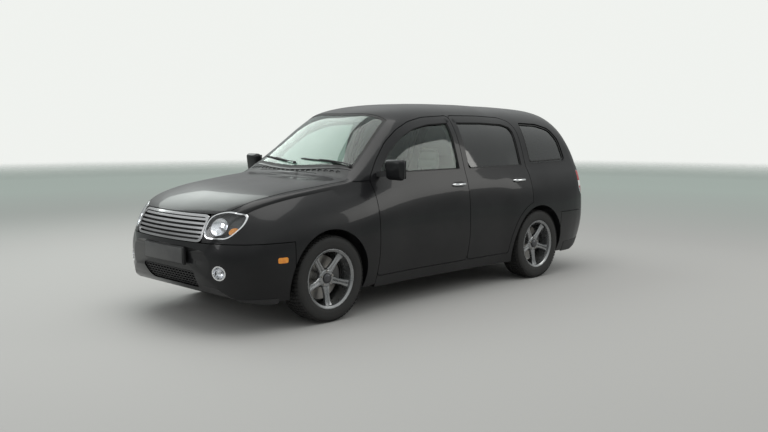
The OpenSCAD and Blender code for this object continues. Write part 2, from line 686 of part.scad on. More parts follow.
module rear_axle() color("dimgray") {
    translate([BEAM_X - 35, -KNUCKLE_Y, 252]) cube([70, 2 * KNUCKLE_Y, 60]);
    mirrored_y() {
        translate([REAR_X - 45, KNUCKLE_Y - 12, 252]) cube([BEAM_X + 80 - REAR_X, KNUCKLE_T, 74]);
        translate([BEAM_X, 470, 262]) cube([RISER_X - fit_gap - BEAM_X, 60, 44]);
        translate([REAR_X, 0, tyre_r]) {
            translate([0, KNUCKLE_Y, 0]) rotate([-90, 0, 0])
                cylinder(r = 60, h = HUB_FACE_Y - 10 - KNUCKLE_Y, $fn = 48);
            spindle(KNUCKLE_Y);
        }
    }
}
BEAD_GAP = 0.5;
SHOULDER_R = 28;
SPOKES = 5;
HUB_R = 75;
BARREL_R = 200;
module at_wheel(x, side) mirror([0, side == LEFT ? 0 : 1, 0])
    translate([x, WHEEL_Y, tyre_r]) rotate([-90, 0, 0]) children();
// Half the tyre's section, from bead to tread
module tyre(x, side) color("black") at_wheel(x, side) rotate_extrude($fn = 96)
    polygon(concat([[rim_r + BEAD_GAP, -tyre_w / 2 + 8], [rim_r + 35, -tyre_w / 2]],
        [for (a = [270:15:360]) [tyre_r - SHOULDER_R * (1 - sin(a - 270)),
            -tyre_w / 2 + SHOULDER_R * (1 - cos(a - 270))]],
        [for (a = [0:15:90]) [tyre_r - SHOULDER_R * (1 - cos(a)),
            tyre_w / 2 - SHOULDER_R * (1 - sin(a))]],
        [[rim_r + 35, tyre_w / 2], [rim_r + BEAD_GAP, tyre_w / 2 - 8]]));
module rim(x, side) color("silver") at_wheel(x, side) difference() {
    rotate_extrude($fn = 96) polygon([[spindle_r + spindle_gap, -28], [HUB_R, -28], [HUB_R, 5],
        [BARREL_R, 28], [BARREL_R, -95], [rim_r, -100], [rim_r, -92], [BARREL_R + 8, -86],
        [BARREL_R + 8, 86], [rim_r, 92], [rim_r, 100], [BARREL_R, 95], [BARREL_R, 60],
        [HUB_R, 40], [HUB_R, 50], [spindle_r + spindle_gap, 50]]);
    for (i = [0:SPOKES - 1]) rotate([0, 0, 360 / SPOKES * (i + 0.5)])
        translate([(HUB_R + BARREL_R) / 2 + 5, 0, -40]) cylinder(r = 38, h = 150, $fn = 48);
    for (i = [0:wheel_bolts - 1]) rotate([0, 0, 360 / wheel_bolts * i])
        translate([bolt_circle / 2, 0, -40]) cylinder(d = bolt_hole, h = 150, $fn = 32);
}
MIRROR_X = 738;
module mirror_unit(side) color("black") mirror([0, side == LEFT ? 0 : 1, 0]) difference() {
    union() {
        hull() for (y = [870, 985], z = [1075, 1165]) translate([MIRROR_X, y, z])
            sphere(r = 38, $fn = 24);
        hull() {
            translate([MIRROR_X - 20, 700, 1062]) cube([60, 20, 46]);
            translate([MIRROR_X - 10, 850, 1062]) cube([40, 20, 46]);
        }
    }
    resize([0, 0, 0]) body_solid(-fit_gap);
}

floor_pan();
body_sides();
roof_panel();
firewall();  // cowl
engine_bay();
front_fenders();
front_bumper();
rear_bumper();
grille();
front_lamps();
tail_lamps();
windshield();
quarter_glass();
dashboard();
front_seats();
rear_seat();
engine_block();
arch_liners();
exhaust();
fuel_tank();
front_suspension();
rear_axle();
hood();
tailgate();
tailgate_glass();
front_door(LEFT);  // front_door_left
front_door(RIGHT);  // front_door_right
rear_door(LEFT);  // rear_door_left
rear_door(RIGHT);  // rear_door_right
front_glass(LEFT);  // front_glass_left
front_glass(RIGHT);  // front_glass_right
rear_glass(LEFT);  // rear_glass_left
rear_glass(RIGHT);  // rear_glass_right
mirror_unit(LEFT);  // mirror_left
mirror_unit(RIGHT);  // mirror_right
knuckle(LEFT);  // knuckle_left
knuckle(RIGHT);  // knuckle_right
tyre(FRONT_X, LEFT);  // tyre_front_left
tyre(FRONT_X, RIGHT);  // tyre_front_right
tyre(REAR_X, LEFT);  // tyre_rear_left
tyre(REAR_X, RIGHT);  // tyre_rear_right
rim(FRONT_X, LEFT);  // rim_front_left
rim(FRONT_X, RIGHT);  // rim_front_right
rim(REAR_X, LEFT);  // rim_rear_left
rim(REAR_X, RIGHT);  // rim_rear_right
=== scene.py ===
# %% [markdown]
# A compact SUV with a tall rounded roof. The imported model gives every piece's real size and
# place. This lesson rebuilds the skin of the car as smooth surfaces, fits them in the same
# places, and gives each piece its finish. Outlines and sizes are drawn in millimetres, and MM
# turns them into metres.
# %% Load the fixed frame
import functools
import math

import bpy
import numpy as np
from mathutils import Matrix, Vector
from mathutils.bvhtree import BVHTree


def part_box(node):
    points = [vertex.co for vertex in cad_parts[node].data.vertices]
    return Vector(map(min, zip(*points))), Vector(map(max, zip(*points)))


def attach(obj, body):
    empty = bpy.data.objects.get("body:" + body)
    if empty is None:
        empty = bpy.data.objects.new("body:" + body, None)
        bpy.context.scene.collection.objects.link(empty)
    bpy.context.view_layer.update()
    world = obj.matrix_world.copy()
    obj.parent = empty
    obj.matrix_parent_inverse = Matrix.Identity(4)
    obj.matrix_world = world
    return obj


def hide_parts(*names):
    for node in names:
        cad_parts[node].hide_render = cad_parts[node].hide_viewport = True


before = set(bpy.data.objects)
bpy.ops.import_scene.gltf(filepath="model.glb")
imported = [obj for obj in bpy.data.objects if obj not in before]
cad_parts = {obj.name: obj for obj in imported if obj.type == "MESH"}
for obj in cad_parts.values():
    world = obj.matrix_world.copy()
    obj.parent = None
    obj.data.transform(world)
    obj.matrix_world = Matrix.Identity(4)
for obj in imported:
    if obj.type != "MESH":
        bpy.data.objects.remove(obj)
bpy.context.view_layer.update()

# %% [markdown]
# Small helpers come first. An operator acts on everything that is selected, so each step
# starts by deselecting all. A finished piece keeps its place in its mesh.
# %% Helpers for selecting, applying and joining
LEFT, RIGHT = 1, -1
SIDES = ((LEFT, "left"), (RIGHT, "right"))


def deselect():
    if bpy.context.object and bpy.context.object.mode != "OBJECT":
        bpy.ops.object.mode_set(mode="OBJECT")
    bpy.ops.object.select_all(action="DESELECT")


def pick(piece):
    deselect()
    piece.select_set(True)
    bpy.context.view_layer.objects.active = piece


def settle(piece):
    """Puts a piece's place, turn and size into its mesh."""
    pick(piece)
    bpy.ops.object.transform_apply(location=True, rotation=True, scale=True)
    return piece


def use(piece, kind, **settings):
    """Adds a modifier with its settings and applies it."""
    pick(piece)
    modifier = piece.modifiers.new(kind.title(), kind)
    for name, value in settings.items():
        setattr(modifier, name, value)
    bpy.ops.object.modifier_apply(modifier=modifier.name)
    return piece


def join(pieces, name):
    deselect()
    for piece in pieces:
        piece.select_set(True)
    bpy.context.view_layer.objects.active = pieces[0]
    if len(pieces) > 1:
        bpy.ops.object.join()
    pieces[0].name = name
    return pieces[0]


def twin(piece, name=None, flip=False):
    """A copy with its own mesh, mirrored to the other side of the car if asked."""
    copy = piece.copy()
    copy.data = piece.data.copy()
    bpy.context.collection.objects.link(copy)
    if name:
        copy.name = name
    if flip:
        copy.data.transform(Matrix.Diagonal((1, -1, 1, 1)))
        copy.data.flip_normals()
    return copy


def mesh_piece(name, verts, faces):
    mesh = bpy.data.meshes.new(name)
    mesh.from_pydata([tuple(v) for v in verts], [], faces)
    mesh.update()
    piece = bpy.data.objects.new(name, mesh)
    bpy.context.collection.objects.link(piece)
    return piece


def remove(*pieces):
    for piece in pieces:
        bpy.data.objects.remove(piece)


def smooth(piece, degrees=32):
    pick(piece)
    bpy.ops.object.shade_smooth_by_angle(angle=math.radians(degrees))
    return piece


# %% [markdown]
# The car's skin is one surface through cross-sections, as in a shipbuilder's lines plan. Each
# row holds the place along the car, the underside, half width, belt height, half width at the belt,
# top, how far the sides sweep back, how far the cabin leans in and how round its corner is, in
# millimetres. Every panel is cut from this surface, so gaps line up.
# %% The lines of the body
SECTIONS_MM = np.array([
    [-2237, 430, 560, 560, 540, 610, -90, 0.00, 0.60],
    [-2228, 380, 690, 640, 660, 710, -90, 0.00, 0.60],
    [-2200, 330, 770, 800, 720, 880, -90, 0.02, 0.58],
    [-2170, 290, 815, 960, 735, 1090, -90, 0.06, 0.55],
    [-2130, 262, 838, 1060, 745, 1250, -90, 0.12, 0.52],
    [-2060, 232, 850, 1085, 752, 1420, -70, 0.17, 0.50],
    [-1950, 205, 862, 1088, 757, 1545, -45, 0.20, 0.50],
    [-1750, 190, 872, 1085, 762, 1612, -20, 0.22, 0.50],
    [-1298, 190, 877, 1078, 768, 1640, 0, 0.22, 0.50],
    [-980, 190, 868, 1073, 769, 1648, 0, 0.22, 0.50],
    [-700, 190, 846, 1066, 770, 1656, 0, 0.22, 0.50],
    [-100, 190, 836, 1055, 768, 1653, 10, 0.22, 0.50],
    [350, 190, 836, 1045, 763, 1604, 60, 0.21, 0.50],
    [560, 190, 841, 1038, 758, 1516, 90, 0.20, 0.52],
    [800, 190, 855, 1030, 752, 1332, 105, 0.16, 0.55],
    [1000, 190, 868, 1015, 742, 1165, 105, 0.08, 0.62],
    [1110, 190, 873, 1002, 735, 1080, 95, 0.03, 0.68],
    [1330, 190, 877, 972, 722, 1052, 80, 0.00, 0.70],
    [1700, 190, 872, 925, 700, 1005, 100, 0.00, 0.70],
    [1950, 205, 845, 870, 665, 950, 125, 0.00, 0.70],
    [2090, 228, 800, 800, 625, 888, 140, 0.00, 0.70],
    [2170, 262, 740, 720, 590, 810, 150, 0.00, 0.70],
    [2215, 320, 650, 640, 540, 720, 150, 0.00, 0.70],
    [2237, 400, 520, 560, 480, 610, 150, 0.00, 0.70]])
TUCK, WIDEST, END_POWER = 0.09, 0.45, 6
ROWS_BETWEEN = 6
LOW_STEPS, TOP_STEPS = 13, 20
MM = 0.001


def section_rows():
    """Catmull-Rom rows through the table."""
    last = len(SECTIONS_MM) - 1
    rows = []
    for step in range(last * ROWS_BETWEEN + 1):
        i = min(step // ROWS_BETWEEN, last - 1)
        u = step / ROWS_BETWEEN - i
        a, b, c, d = (SECTIONS_MM[max(0, min(last, i + k))] for k in (-1, 0, 1, 2))
        rows.append(0.5 * (2 * b + (c - a) * u + (2 * a - 5 * b + 4 * c - d) * u ** 2
                           + (3 * b - a - 3 * c + d) * u ** 3))
    return rows


def half_ring(row, depth):
    """The left half of a cross-section at a depth under the skin, from bottom to top."""
    low, wide, belt, belt_wide, top = (
        row[1] + depth, row[2] - depth, row[3], row[4] - depth, row[5] - depth)
    points = []
    for i in range(LOW_STEPS):
        t = i / LOW_STEPS
        if t < WIDEST:
            y = wide * (1 - TUCK * ((WIDEST - t) / WIDEST) ** 2)
        else:
            y = wide - (wide - belt_wide) * ((t - WIDEST) / (1 - WIDEST)) ** 3
        points.append((y, low + (belt - low) * t))
    for i in range(TOP_STEPS):
        angle = math.radians(90 * i / (TOP_STEPS - 0.5))
        up = math.sin(angle) ** row[8]
        y = belt_wide * math.cos(angle) ** row[8] * (1 - row[7] * up)
        points.append((y, belt + (top - belt) * up))
    return points


def place(row, depth, y, z):
    end = (abs(row[0]) / 2237.5) ** END_POWER
    x = row[0] - math.copysign(depth * end, row[0]) - row[6] * (y / 877) ** 2
    return (x * MM, y * MM, z * MM)


def skin(depth):
    """Points and faces of the closed skin, a depth in millimetres under the outside."""
    verts, faces = [], []
    rows = section_rows()
    ring = 2 * (LOW_STEPS + TOP_STEPS)
    for row in rows:
        half = half_ring(row, depth)
        verts += [place(row, depth, y, z) for y, z in half]
        verts += [place(row, depth, -y, z) for y, z in reversed(half)]
    for i in range(len(rows) - 1):
        for j in range(ring):
            k = (j + 1) % ring
            a, b, c, d = i * ring + j, i * ring + k, (i + 1) * ring + j, (i + 1) * ring + k
            faces += [(a, b, d), (a, d, c)] if j < ring // 2 else [(a, b, c), (b, d, c)]
    for i, front in ((0, False), (len(rows) - 1, True)):
        loop = [i * ring + j for j in range(ring)]
        middle = np.mean([verts[v] for v in loop], axis=0)
        verts.append((verts[loop[0]][0], 0.0, middle[2]))
        centre = len(verts) - 1
        for j in range(ring):
            pair = (loop[j], loop[(j + 1) % ring])
            faces.append((centre, *(pair if front else reversed(pair))))
    return verts, faces


@functools.cache
def shell_mesh(outer, inner=None):
    """The skin at one depth as a solid, or the space between two depths with its hollow."""
    verts, faces = skin(outer)
    if inner is not None:
        inner_verts, inner_faces = skin(inner)
        count = len(verts)
        verts = verts + inner_verts
        faces = faces + [tuple(v + count for v in reversed(face)) for face in inner_faces]
    mesh = bpy.data.meshes.new("skin")
    mesh.from_pydata(verts, [], faces)
    mesh.update()
    return mesh


def shell(outer, inner=None):
    piece = bpy.data.objects.new("shell", shell_mesh(outer, inner).copy())
    bpy.context.collection.objects.link(piece)
    return piece


# %% [markdown]
# A panel is what an outline cuts out of the shell. The outline is drawn flat, extruded into a
# long cutter, and a Boolean modifier keeps or removes what it covers.
# %% Outlines and cutters
FAR = 3.0
NOSE, TAIL_END = 1.8, -2.0


def grown(points, distance):
    """An outline moved outwards by a distance, with square corners."""
    points = [Vector(p) for p in points]
    area = sum(a.x * b.y - b.x * a.y for a, b in zip(points, points[1:] + points[:1]))
    turn = 1 if area > 0 else -1
    result = []
    for i, here in enumerate(points):
        back = (here - points[i - 1]).normalized()
        ahead = (points[(i + 1) % len(points)] - here).normalized()
        n1, n2 = Vector((back.y, -back.x)) * turn, Vector((ahead.y, -ahead.x)) * turn
        middle = (n1 + n2) / max(0.2, 1 + n1.dot(n2))
        result.append(here + middle * distance)
    return result


def rounded(points, radius, steps=6):
    """An outline with each corner turned into an arc-like curve."""
    points = [Vector(p) for p in points]
    result = []
    for i, here in enumerate(points):
        before, after = points[i - 1], points[(i + 1) % len(points)]
        back, ahead = before - here, after - here
        reach = min(radius, back.length * 0.45, ahead.length * 0.45)
        start, end = here + back.normalized() * reach, here + ahead.normalized() * reach
        for k in range(steps + 1):
            u = k / steps
            result.append(start * (1 - u) ** 2 + here * 2 * u * (1 - u) + end * u ** 2)
    return result


def cutter(points_mm, view, low, high):
    """Extrudes a flat outline, given in millimetres, along the axis that the view looks along."""
    to_space = {"side": lambda a, b: (a, 0, b), "above": lambda a, b: (a, b, 0),
                "front": lambda a, b: (0, a, b)}[view]
    axis = {"side": Vector((0, 1, 0)), "above": Vector((0, 0, 1)),
            "front": Vector((1, 0, 0))}[view]
    flat = [Vector(to_space(p[0] * MM, p[1] * MM)) + axis * low for p in points_mm]
    piece = mesh_piece("cutter", flat, [tuple(range(len(flat)))])
    pick(piece)
    bpy.ops.object.mode_set(mode="EDIT")
    bpy.ops.mesh.select_all(action="SELECT")
    bpy.ops.mesh.extrude_region_move(
        TRANSFORM_OT_translate={"value": tuple(axis * (high - low))})
    bpy.ops.mesh.select_all(action="SELECT")
    bpy.ops.mesh.normals_make_consistent(inside=False)
    bpy.ops.object.mode_set(mode="OBJECT")
    return piece


def from_side(points, side):
    low, high = (0.0, FAR) if side == LEFT else (-FAR, 0.0)
    return cutter(points, "side", low, high)


def from_above(points, floor=0.7):
    return cutter(points, "above", floor, FAR)


def from_front(points, start=1.5):
    return cutter(points, "front", start, FAR)


def from_behind(points, start=-1.9):
    return cutter(points, "front", -FAR, start)


def slab(low, high):
    """A plain block used only as a cutter."""
    size = Vector(high) - Vector(low)
    bpy.ops.mesh.primitive_cube_add(size=1, location=(Vector(low) + Vector(high)) / 2, scale=size)
    return settle(bpy.context.object)


def cut(piece, tool, how="DIFFERENCE", keep=False):
    pick(piece)
    modifier = piece.modifiers.new("Cut", "BOOLEAN")
    modifier.operation, modifier.object, modifier.solver = how, tool, "MANIFOLD"
    bpy.ops.object.modifier_apply(modifier=modifier.name)
    if not keep:
        remove(tool)
    return piece


def only(piece, tool):
    return cut(piece, tool, "INTERSECT")


def outside(tool, depth):
    """The part of a cutter that lies outside a depth under the skin."""
    return cut(tool, shell(depth))


# %% [markdown]
# The outlines of the panels are shared by neighbours: a door's outline also gives its opening,
# its window and its seal. Each is drawn in side, top, front or rear view, in millimetres.
# %% Panel outlines
GAP, SKIN_T, WALL_T, FLANGE, FRAME_W = 6, 12, 60, 25, 46
GLASS_DEPTH, GLASS_T, SEAL_GAP, FIT = 14, 5, 0.8, 0.4
BELT_Z, DOOR_SPLIT, DOOR_FLOOR = 1072, -290, 285
WHEELBASE_FRONT = Vector(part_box("tyre_front_left")[0]).lerp(Vector(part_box("tyre_front_left")[1]), 0.5)
WHEELBASE_REAR = Vector(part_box("tyre_rear_left")[0]).lerp(Vector(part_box("tyre_rear_left")[1]), 0.5)
FRONT_X, REAR_X, HUB_Z = WHEELBASE_FRONT.x / MM, WHEELBASE_REAR.x / MM, WHEELBASE_FRONT.z / MM
ARCH_R = 375
HUGE = 3000


def parabola(middle, drop, half, steps=10):
    """Points across the car whose ends lie further back than the middle."""
    ys = [half - 2 * half * i / steps for i in range(steps + 1)]
    return [(middle - drop * (y / half) ** 2, y) for y in ys]


def arc(centre, radius, start, end, steps):
    """Points on an arc, with angles in degrees."""
    angles = [math.radians(start + (end - start) * i / steps) for i in range(steps + 1)]
    return [(centre[0] + radius * math.cos(a), centre[1] + radius * math.sin(a)) for a in angles]


FRONT_DOOR = rounded([(830, DOOR_FLOOR), (830, 1050), (715, 1178), (560, 1322), (400, 1427),
                      (230, 1492), (40, 1528), (DOOR_SPLIT, 1545), (DOOR_SPLIT, DOOR_FLOOR)], 40)
REAR_DOOR = rounded([(DOOR_SPLIT - GAP, DOOR_FLOOR), (DOOR_SPLIT - GAP, 1545), (-700, 1543),
                     (-1010, 1528), (-1130, 1490), (-1180, 1412), (-1180, 741)]
                    + arc((REAR_X, HUB_Z), 430, 72, -5.6, 12), 40, 4)
QUARTER = rounded([(-1262, 1100), (-1262, 1485), (-1560, 1473), (-1745, 1430), (-1840, 1325),
                   (-1868, 1110)], 45)
WINDSHIELD = parabola(1052, 120, 640) + [(x, -y) for x, y in parabola(478, 62, 510)]
ROOF = [(-1893, 478), (-1500, 500), (-700, 508)] + parabola(466, 62, 510) + [
    (-700, -508), (-1500, -500), (-1893, -478)]
COWL = parabola(1078, 28, 690) + [(x, -y) for x, y in parabola(1064, 120, 640)]
HOOD = [(x, -y) for x, y in parabola(1085, 30, 690)] + [
    (1330, 676), (1700, 640), (1950, 590), (2110, 520), (2300, 480),
    (2300, -480), (2110, -520), (1950, -590), (1700, -640), (1330, -676)]
HOOD_LIP, BUMPER_TOP, REAR_BUMPER_TOP, GRILLE_HALF = 842, 640, 610, 446
LAMP = rounded([(452, 676), (448, 832), (560, 868), (668, 842), (690, 760), (640, 676)], 60)
TAIL_LAMP = rounded([(668, 740), (668, 1010), (840, 1010), (840, 740)], 60)
TAILGATE = rounded([(-650, 618), (650, 618), (655, 1030), (600, 1300), (500, 1640),
                    (-500, 1640), (-600, 1300), (-655, 1030)], 60)
REAR_WINDOW = rounded([(-590, 1075), (590, 1075), (520, 1330), (450, 1480), (-450, 1480),
                       (-520, 1330)], 60)
PILLAR_X, PILLAR_Z, DOOR_FRONT = 1006, 1028, 830
FRONT_BUMPER_X, REAR_BUMPER_X, PANEL_FLOOR = 1680, -1650, 216


def window_of(outline):
    """A door's window: what its frame leaves above the belt."""
    inner = grown(outline, -FRAME_W)
    count = len(inner)
    start = next(i for i in range(count) if inner[i - 1].y <= BELT_Z < inner[i].y)
    above = []
    for k in range(count):
        here = inner[(start + k) % count]
        if here.y <= BELT_Z:
            break
        above.append(here)
    ends = [Vector((above[0].x, BELT_Z)), Vector((above[-1].x, BELT_Z))]
    return rounded([ends[0]] + [p for p in above if p.y > BELT_Z + 25] + [ends[1]], 22)


FRONT_WINDOW, REAR_WINDOW_SIDE = window_of(FRONT_DOOR), window_of(REAR_DOOR)


def mirrored(points):
    return [(-p[0], p[1]) for p in reversed(points)]


def arch_tool(x, side, radius, inner_y):
    """A round cutter through a wheel arch."""
    depth = 1.2 - inner_y
    bpy.ops.mesh.primitive_cylinder_add(vertices=96, radius=radius * MM, depth=depth,
        location=(x * MM, side * (inner_y + depth / 2), HUB_Z * MM),
        rotation=(math.radians(90), 0, 0))
    return settle(bpy.context.object)


def open_arches(piece, xs=(FRONT_X, REAR_X), radius=ARCH_R, inner_y=0.6):
    for x in xs:
        for side, _ in SIDES:
            cut(piece, arch_tool(x, side, radius, inner_y))
    return piece


# %% [markdown]
# Finishes. Effects that several materials share are node groups that put out masks, values and
# normals, and the shaders stay in each material. Patterns read Object coordinates, and every
# object sits at the origin, so they stay put when a door swings.
# %% Node groups
def new_group(name, inputs, outputs):
    group = bpy.data.node_groups.new(name, "ShaderNodeTree")
    for label, kind, value in inputs:
        socket = group.interface.new_socket(name=label, in_out="INPUT", socket_type=kind)
        if value is not None:
            socket.default_value = value
    for label, kind in outputs:
        group.interface.new_socket(name=label, in_out="OUTPUT", socket_type=kind)
    return group, group.nodes.new("NodeGroupInput"), group.nodes.new("NodeGroupOutput")


def noise(tree, coords, scale, detail=3.0):
    node = tree.nodes.new("ShaderNodeTexNoise")
    tree.links.new(coords, node.inputs["Vector"])
    if isinstance(scale, (int, float)):
        node.inputs["Scale"].default_value = scale
    else:
        tree.links.new(scale, node.inputs["Scale"])
    node.inputs["Detail"].default_value = detail
    return node.outputs["Fac"]


def ranged(tree, value, low, high, to_low=0.0, to_high=1.0):
    node = tree.nodes.new("ShaderNodeMapRange")
    tree.links.new(value, node.inputs["Value"])
    for name, number in (("From Min", low), ("From Max", high)):
        node.inputs[name].default_value = number
    for name, number in (("To Min", to_low), ("To Max", to_high)):
        if isinstance(number, (int, float)):
            node.inputs[name].default_value = number
        else:
            tree.links.new(number, node.inputs[name])
    return node.outputs["Result"]


def build_variation():
    """A colour that wanders between two tones, and a roughness that wanders with it."""
    group, source, sink = new_group("variation", [
        ("Tone A", "NodeSocketColor", None), ("Tone B", "NodeSocketColor", None),
        ("Scale", "NodeSocketFloat", 8.0), ("Rough Low", "NodeSocketFloat", 0.3),
        ("Rough High", "NodeSocketFloat", 0.4)],
        [("Color", "NodeSocketColor"), ("Roughness", "NodeSocketFloat")])
    place_node = group.nodes.new("ShaderNodeTexCoord")
    cloud = noise(group, place_node.outputs["Object"], source.outputs["Scale"])
    mix = group.nodes.new("ShaderNodeMix")
    mix.data_type = "RGBA"
    group.links.new(ranged(group, cloud, 0.35, 0.65), mix.inputs["Factor"])
    group.links.new(source.outputs["Tone A"], mix.inputs["A"])
    group.links.new(source.outputs["Tone B"], mix.inputs["B"])
    group.links.new(mix.outputs["Result"], sink.inputs["Color"])
    rough = ranged(group, cloud, 0.3, 0.7, source.outputs["Rough Low"],
                   source.outputs["Rough High"])
    group.links.new(rough, sink.inputs["Roughness"])
    return group


def build_grain():
    """A fine bump, such as orange peel, moulded grain or cast skin."""
    group, source, sink = new_group("grain", [
        ("Scale", "NodeSocketFloat", 400.0), ("Strength", "NodeSocketFloat", 0.1),
        ("Depth", "NodeSocketFloat", 0.0005)], [("Normal", "NodeSocketVector")])
    place_node = group.nodes.new("ShaderNodeTexCoord")
    height = noise(group, place_node.outputs["Object"], source.outputs["Scale"], 2.0)
    bump = group.nodes.new("ShaderNodeBump")
    group.links.new(height, bump.inputs["Height"])
    group.links.new(source.outputs["Strength"], bump.inputs["Strength"])
    group.links.new(source.outputs["Depth"], bump.inputs["Distance"])
    group.links.new(bump.outputs["Normal"], sink.inputs["Normal"])
    return group


VARIATION, GRAIN = build_variation(), build_grain()


# %% [markdown]
# One function makes a finish from its two tones, roughness range and grain. Constant values,
# such as metal, coat and transmission, are set straight on the shader.
# %% Finishes
def finish_of(name, tone_a, tone_b, rough, scale=6.0, grain=(400.0, 0.05, 0.0004), **sockets):
    material = bpy.data.materials.new(name)
    material.use_nodes = True
    tree = material.node_tree
    shader = tree.nodes["Principled BSDF"]
    tone = tree.nodes.new("ShaderNodeGroup")
    tone.node_tree = VARIATION
    tone.inputs["Tone A"].default_value = (*tone_a, 1)
    tone.inputs["Tone B"].default_value = (*tone_b, 1)
    tone.inputs["Scale"].default_value = scale
    tone.inputs["Rough Low"].default_value, tone.inputs["Rough High"].default_value = rough
    tree.links.new(tone.outputs["Color"], shader.inputs["Base Color"])
    tree.links.new(tone.outputs["Roughness"], shader.inputs["Roughness"])
    if grain:
        fine = tree.nodes.new("ShaderNodeGroup")
        fine.node_tree = GRAIN
        for socket, value in zip(("Scale", "Strength", "Depth"), grain):
            fine.inputs[socket].default_value = value
        tree.links.new(fine.outputs["Normal"], shader.inputs["Normal"])
    for socket, value in sockets.items():
        shader.inputs[socket.replace("_", " ")].default_value = value
    return material


PAINT = finish_of("black_paint", (0.008, 0.008, 0.009), (0.012, 0.012, 0.013), (0.28, 0.34), 3.0,
                  (900.0, 0.012, 0.0002), Specular_IOR_Level=0.18, Coat_Weight=0.4,
                  Coat_Roughness=0.03, Coat_IOR=1.4)
UNDER = finish_of("underbody_coat", (0.02, 0.02, 0.021), (0.045, 0.043, 0.04), (0.55, 0.75), 9.0,
                  (250.0, 0.3, 0.001))
PLASTIC = finish_of("grained_plastic", (0.016, 0.016, 0.017), (0.024, 0.024, 0.025), (0.5, 0.62),
                    12.0, (700.0, 0.22, 0.0005))
RUBBER = finish_of("seal_rubber", (0.01, 0.01, 0.01), (0.018, 0.018, 0.018), (0.6, 0.72), 20.0,
                   (500.0, 0.12, 0.0004))
CHROME = finish_of("chrome", (0.86, 0.87, 0.88), (0.8, 0.81, 0.83), (0.04, 0.08), 5.0, None,
                   Metallic=1.0)
SATIN = finish_of("satin_chrome", (0.5, 0.5, 0.51), (0.55, 0.55, 0.56), (0.12, 0.2), 5.0, None,
                  Metallic=1.0)
ALLOY = finish_of("silver_alloy", (0.27, 0.275, 0.28), (0.33, 0.335, 0.34), (0.24, 0.32), 14.0,
                  (800.0, 0.03, 0.0002), Metallic=0.9, Coat_Weight=0.6, Coat_Roughness=0.05)
ALLOY_DARK = finish_of("dark_alloy", (0.08, 0.08, 0.085), (0.11, 0.11, 0.115), (0.3, 0.4), 14.0,
                       (800.0, 0.03, 0.0002), Metallic=0.8)
CAST = finish_of("cast_metal", (0.16, 0.16, 0.165), (0.24, 0.235, 0.23), (0.5, 0.7), 18.0,
                 (260.0, 0.35, 0.0012), Metallic=0.7)
STEEL = finish_of("exhaust_steel", (0.32, 0.31, 0.3), (0.42, 0.4, 0.37), (0.3, 0.5), 16.0,
                  (300.0, 0.1, 0.0005), Metallic=1.0)
TYRE = finish_of("tyre_rubber", (0.013, 0.013, 0.013), (0.022, 0.021, 0.02), (0.62, 0.8), 26.0,
                 (420.0, 0.3, 0.0006))
CABIN = finish_of("cabin_plastic", (0.07, 0.07, 0.068), (0.09, 0.09, 0.087), (0.5, 0.65), 10.0,
                  (500.0, 0.25, 0.0005))
LINING = finish_of("roof_lining", (0.3, 0.29, 0.27), (0.34, 0.33, 0.31), (0.8, 0.9), 14.0,
                   (600.0, 0.3, 0.0006))
AMBER = finish_of("amber_lens", (0.85, 0.27, 0.02), (0.95, 0.36, 0.03), (0.12, 0.2), 40.0,
                  (260.0, 0.15, 0.0006), Coat_Weight=0.8)
RED = finish_of("red_lens", (0.42, 0.008, 0.01), (0.55, 0.012, 0.014), (0.1, 0.18), 40.0,
                (260.0, 0.12, 0.0006), Coat_Weight=0.9)
WHITE = finish_of("lamp_glass_white", (0.7, 0.7, 0.69), (0.76, 0.76, 0.75), (0.3, 0.4), 10.0,
                  (300.0, 0.05, 0.0003))
PLATE = finish_of("blank_plate", (0.05, 0.05, 0.052), (0.07, 0.07, 0.07), (0.35, 0.45), 10.0,
                  (600.0, 0.05, 0.0002))
REFLECTOR = finish_of("lamp_reflector", (0.78, 0.79, 0.8), (0.9, 0.9, 0.92), (0.06, 0.12), 30.0,
                      None, Metallic=1.0)
CLOTH = finish_of("seat_cloth", (0.16, 0.158, 0.148), (0.23, 0.226, 0.212), (0.8, 0.92), 60.0,
                  (1400.0, 0.5, 0.0008), Sheen_Weight=0.35, Sheen_Roughness=0.5)
WINDOW_CLEAR = finish_of("clear_window", (0.72, 0.86, 0.79), (0.74, 0.88, 0.81), (0.0, 0.01), 2.0,
                         None, Transmission_Weight=1.0, IOR=1.35)
WINDOW_DARK = finish_of("privacy_window", (0.03, 0.035, 0.035), (0.04, 0.045, 0.045),
                        (0.01, 0.03), 2.0, None, Transmission_Weight=0.75, IOR=1.3,
                        Coat_Weight=1.0)
LENS = finish_of("clear_lens", (0.95, 0.96, 0.98), (0.97, 0.98, 1.0), (0.0, 0.02), 8.0, None,
                 Transmission_Weight=1.0, IOR=1.2, Coat_Weight=0.4)


def coat(piece, material):
    piece.data.materials.clear()
    piece.data.materials.append(material)
    return piece


def fit(piece, name, body, material, slot, *nodes):
    """Names a piece, gives it its finish, hangs it on its body and hides the CAD parts that it stands
    for.
    """
    piece.name = name
    coat(piece, material)
    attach(piece, body)
    if nodes:
        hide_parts(*nodes)
    return piece


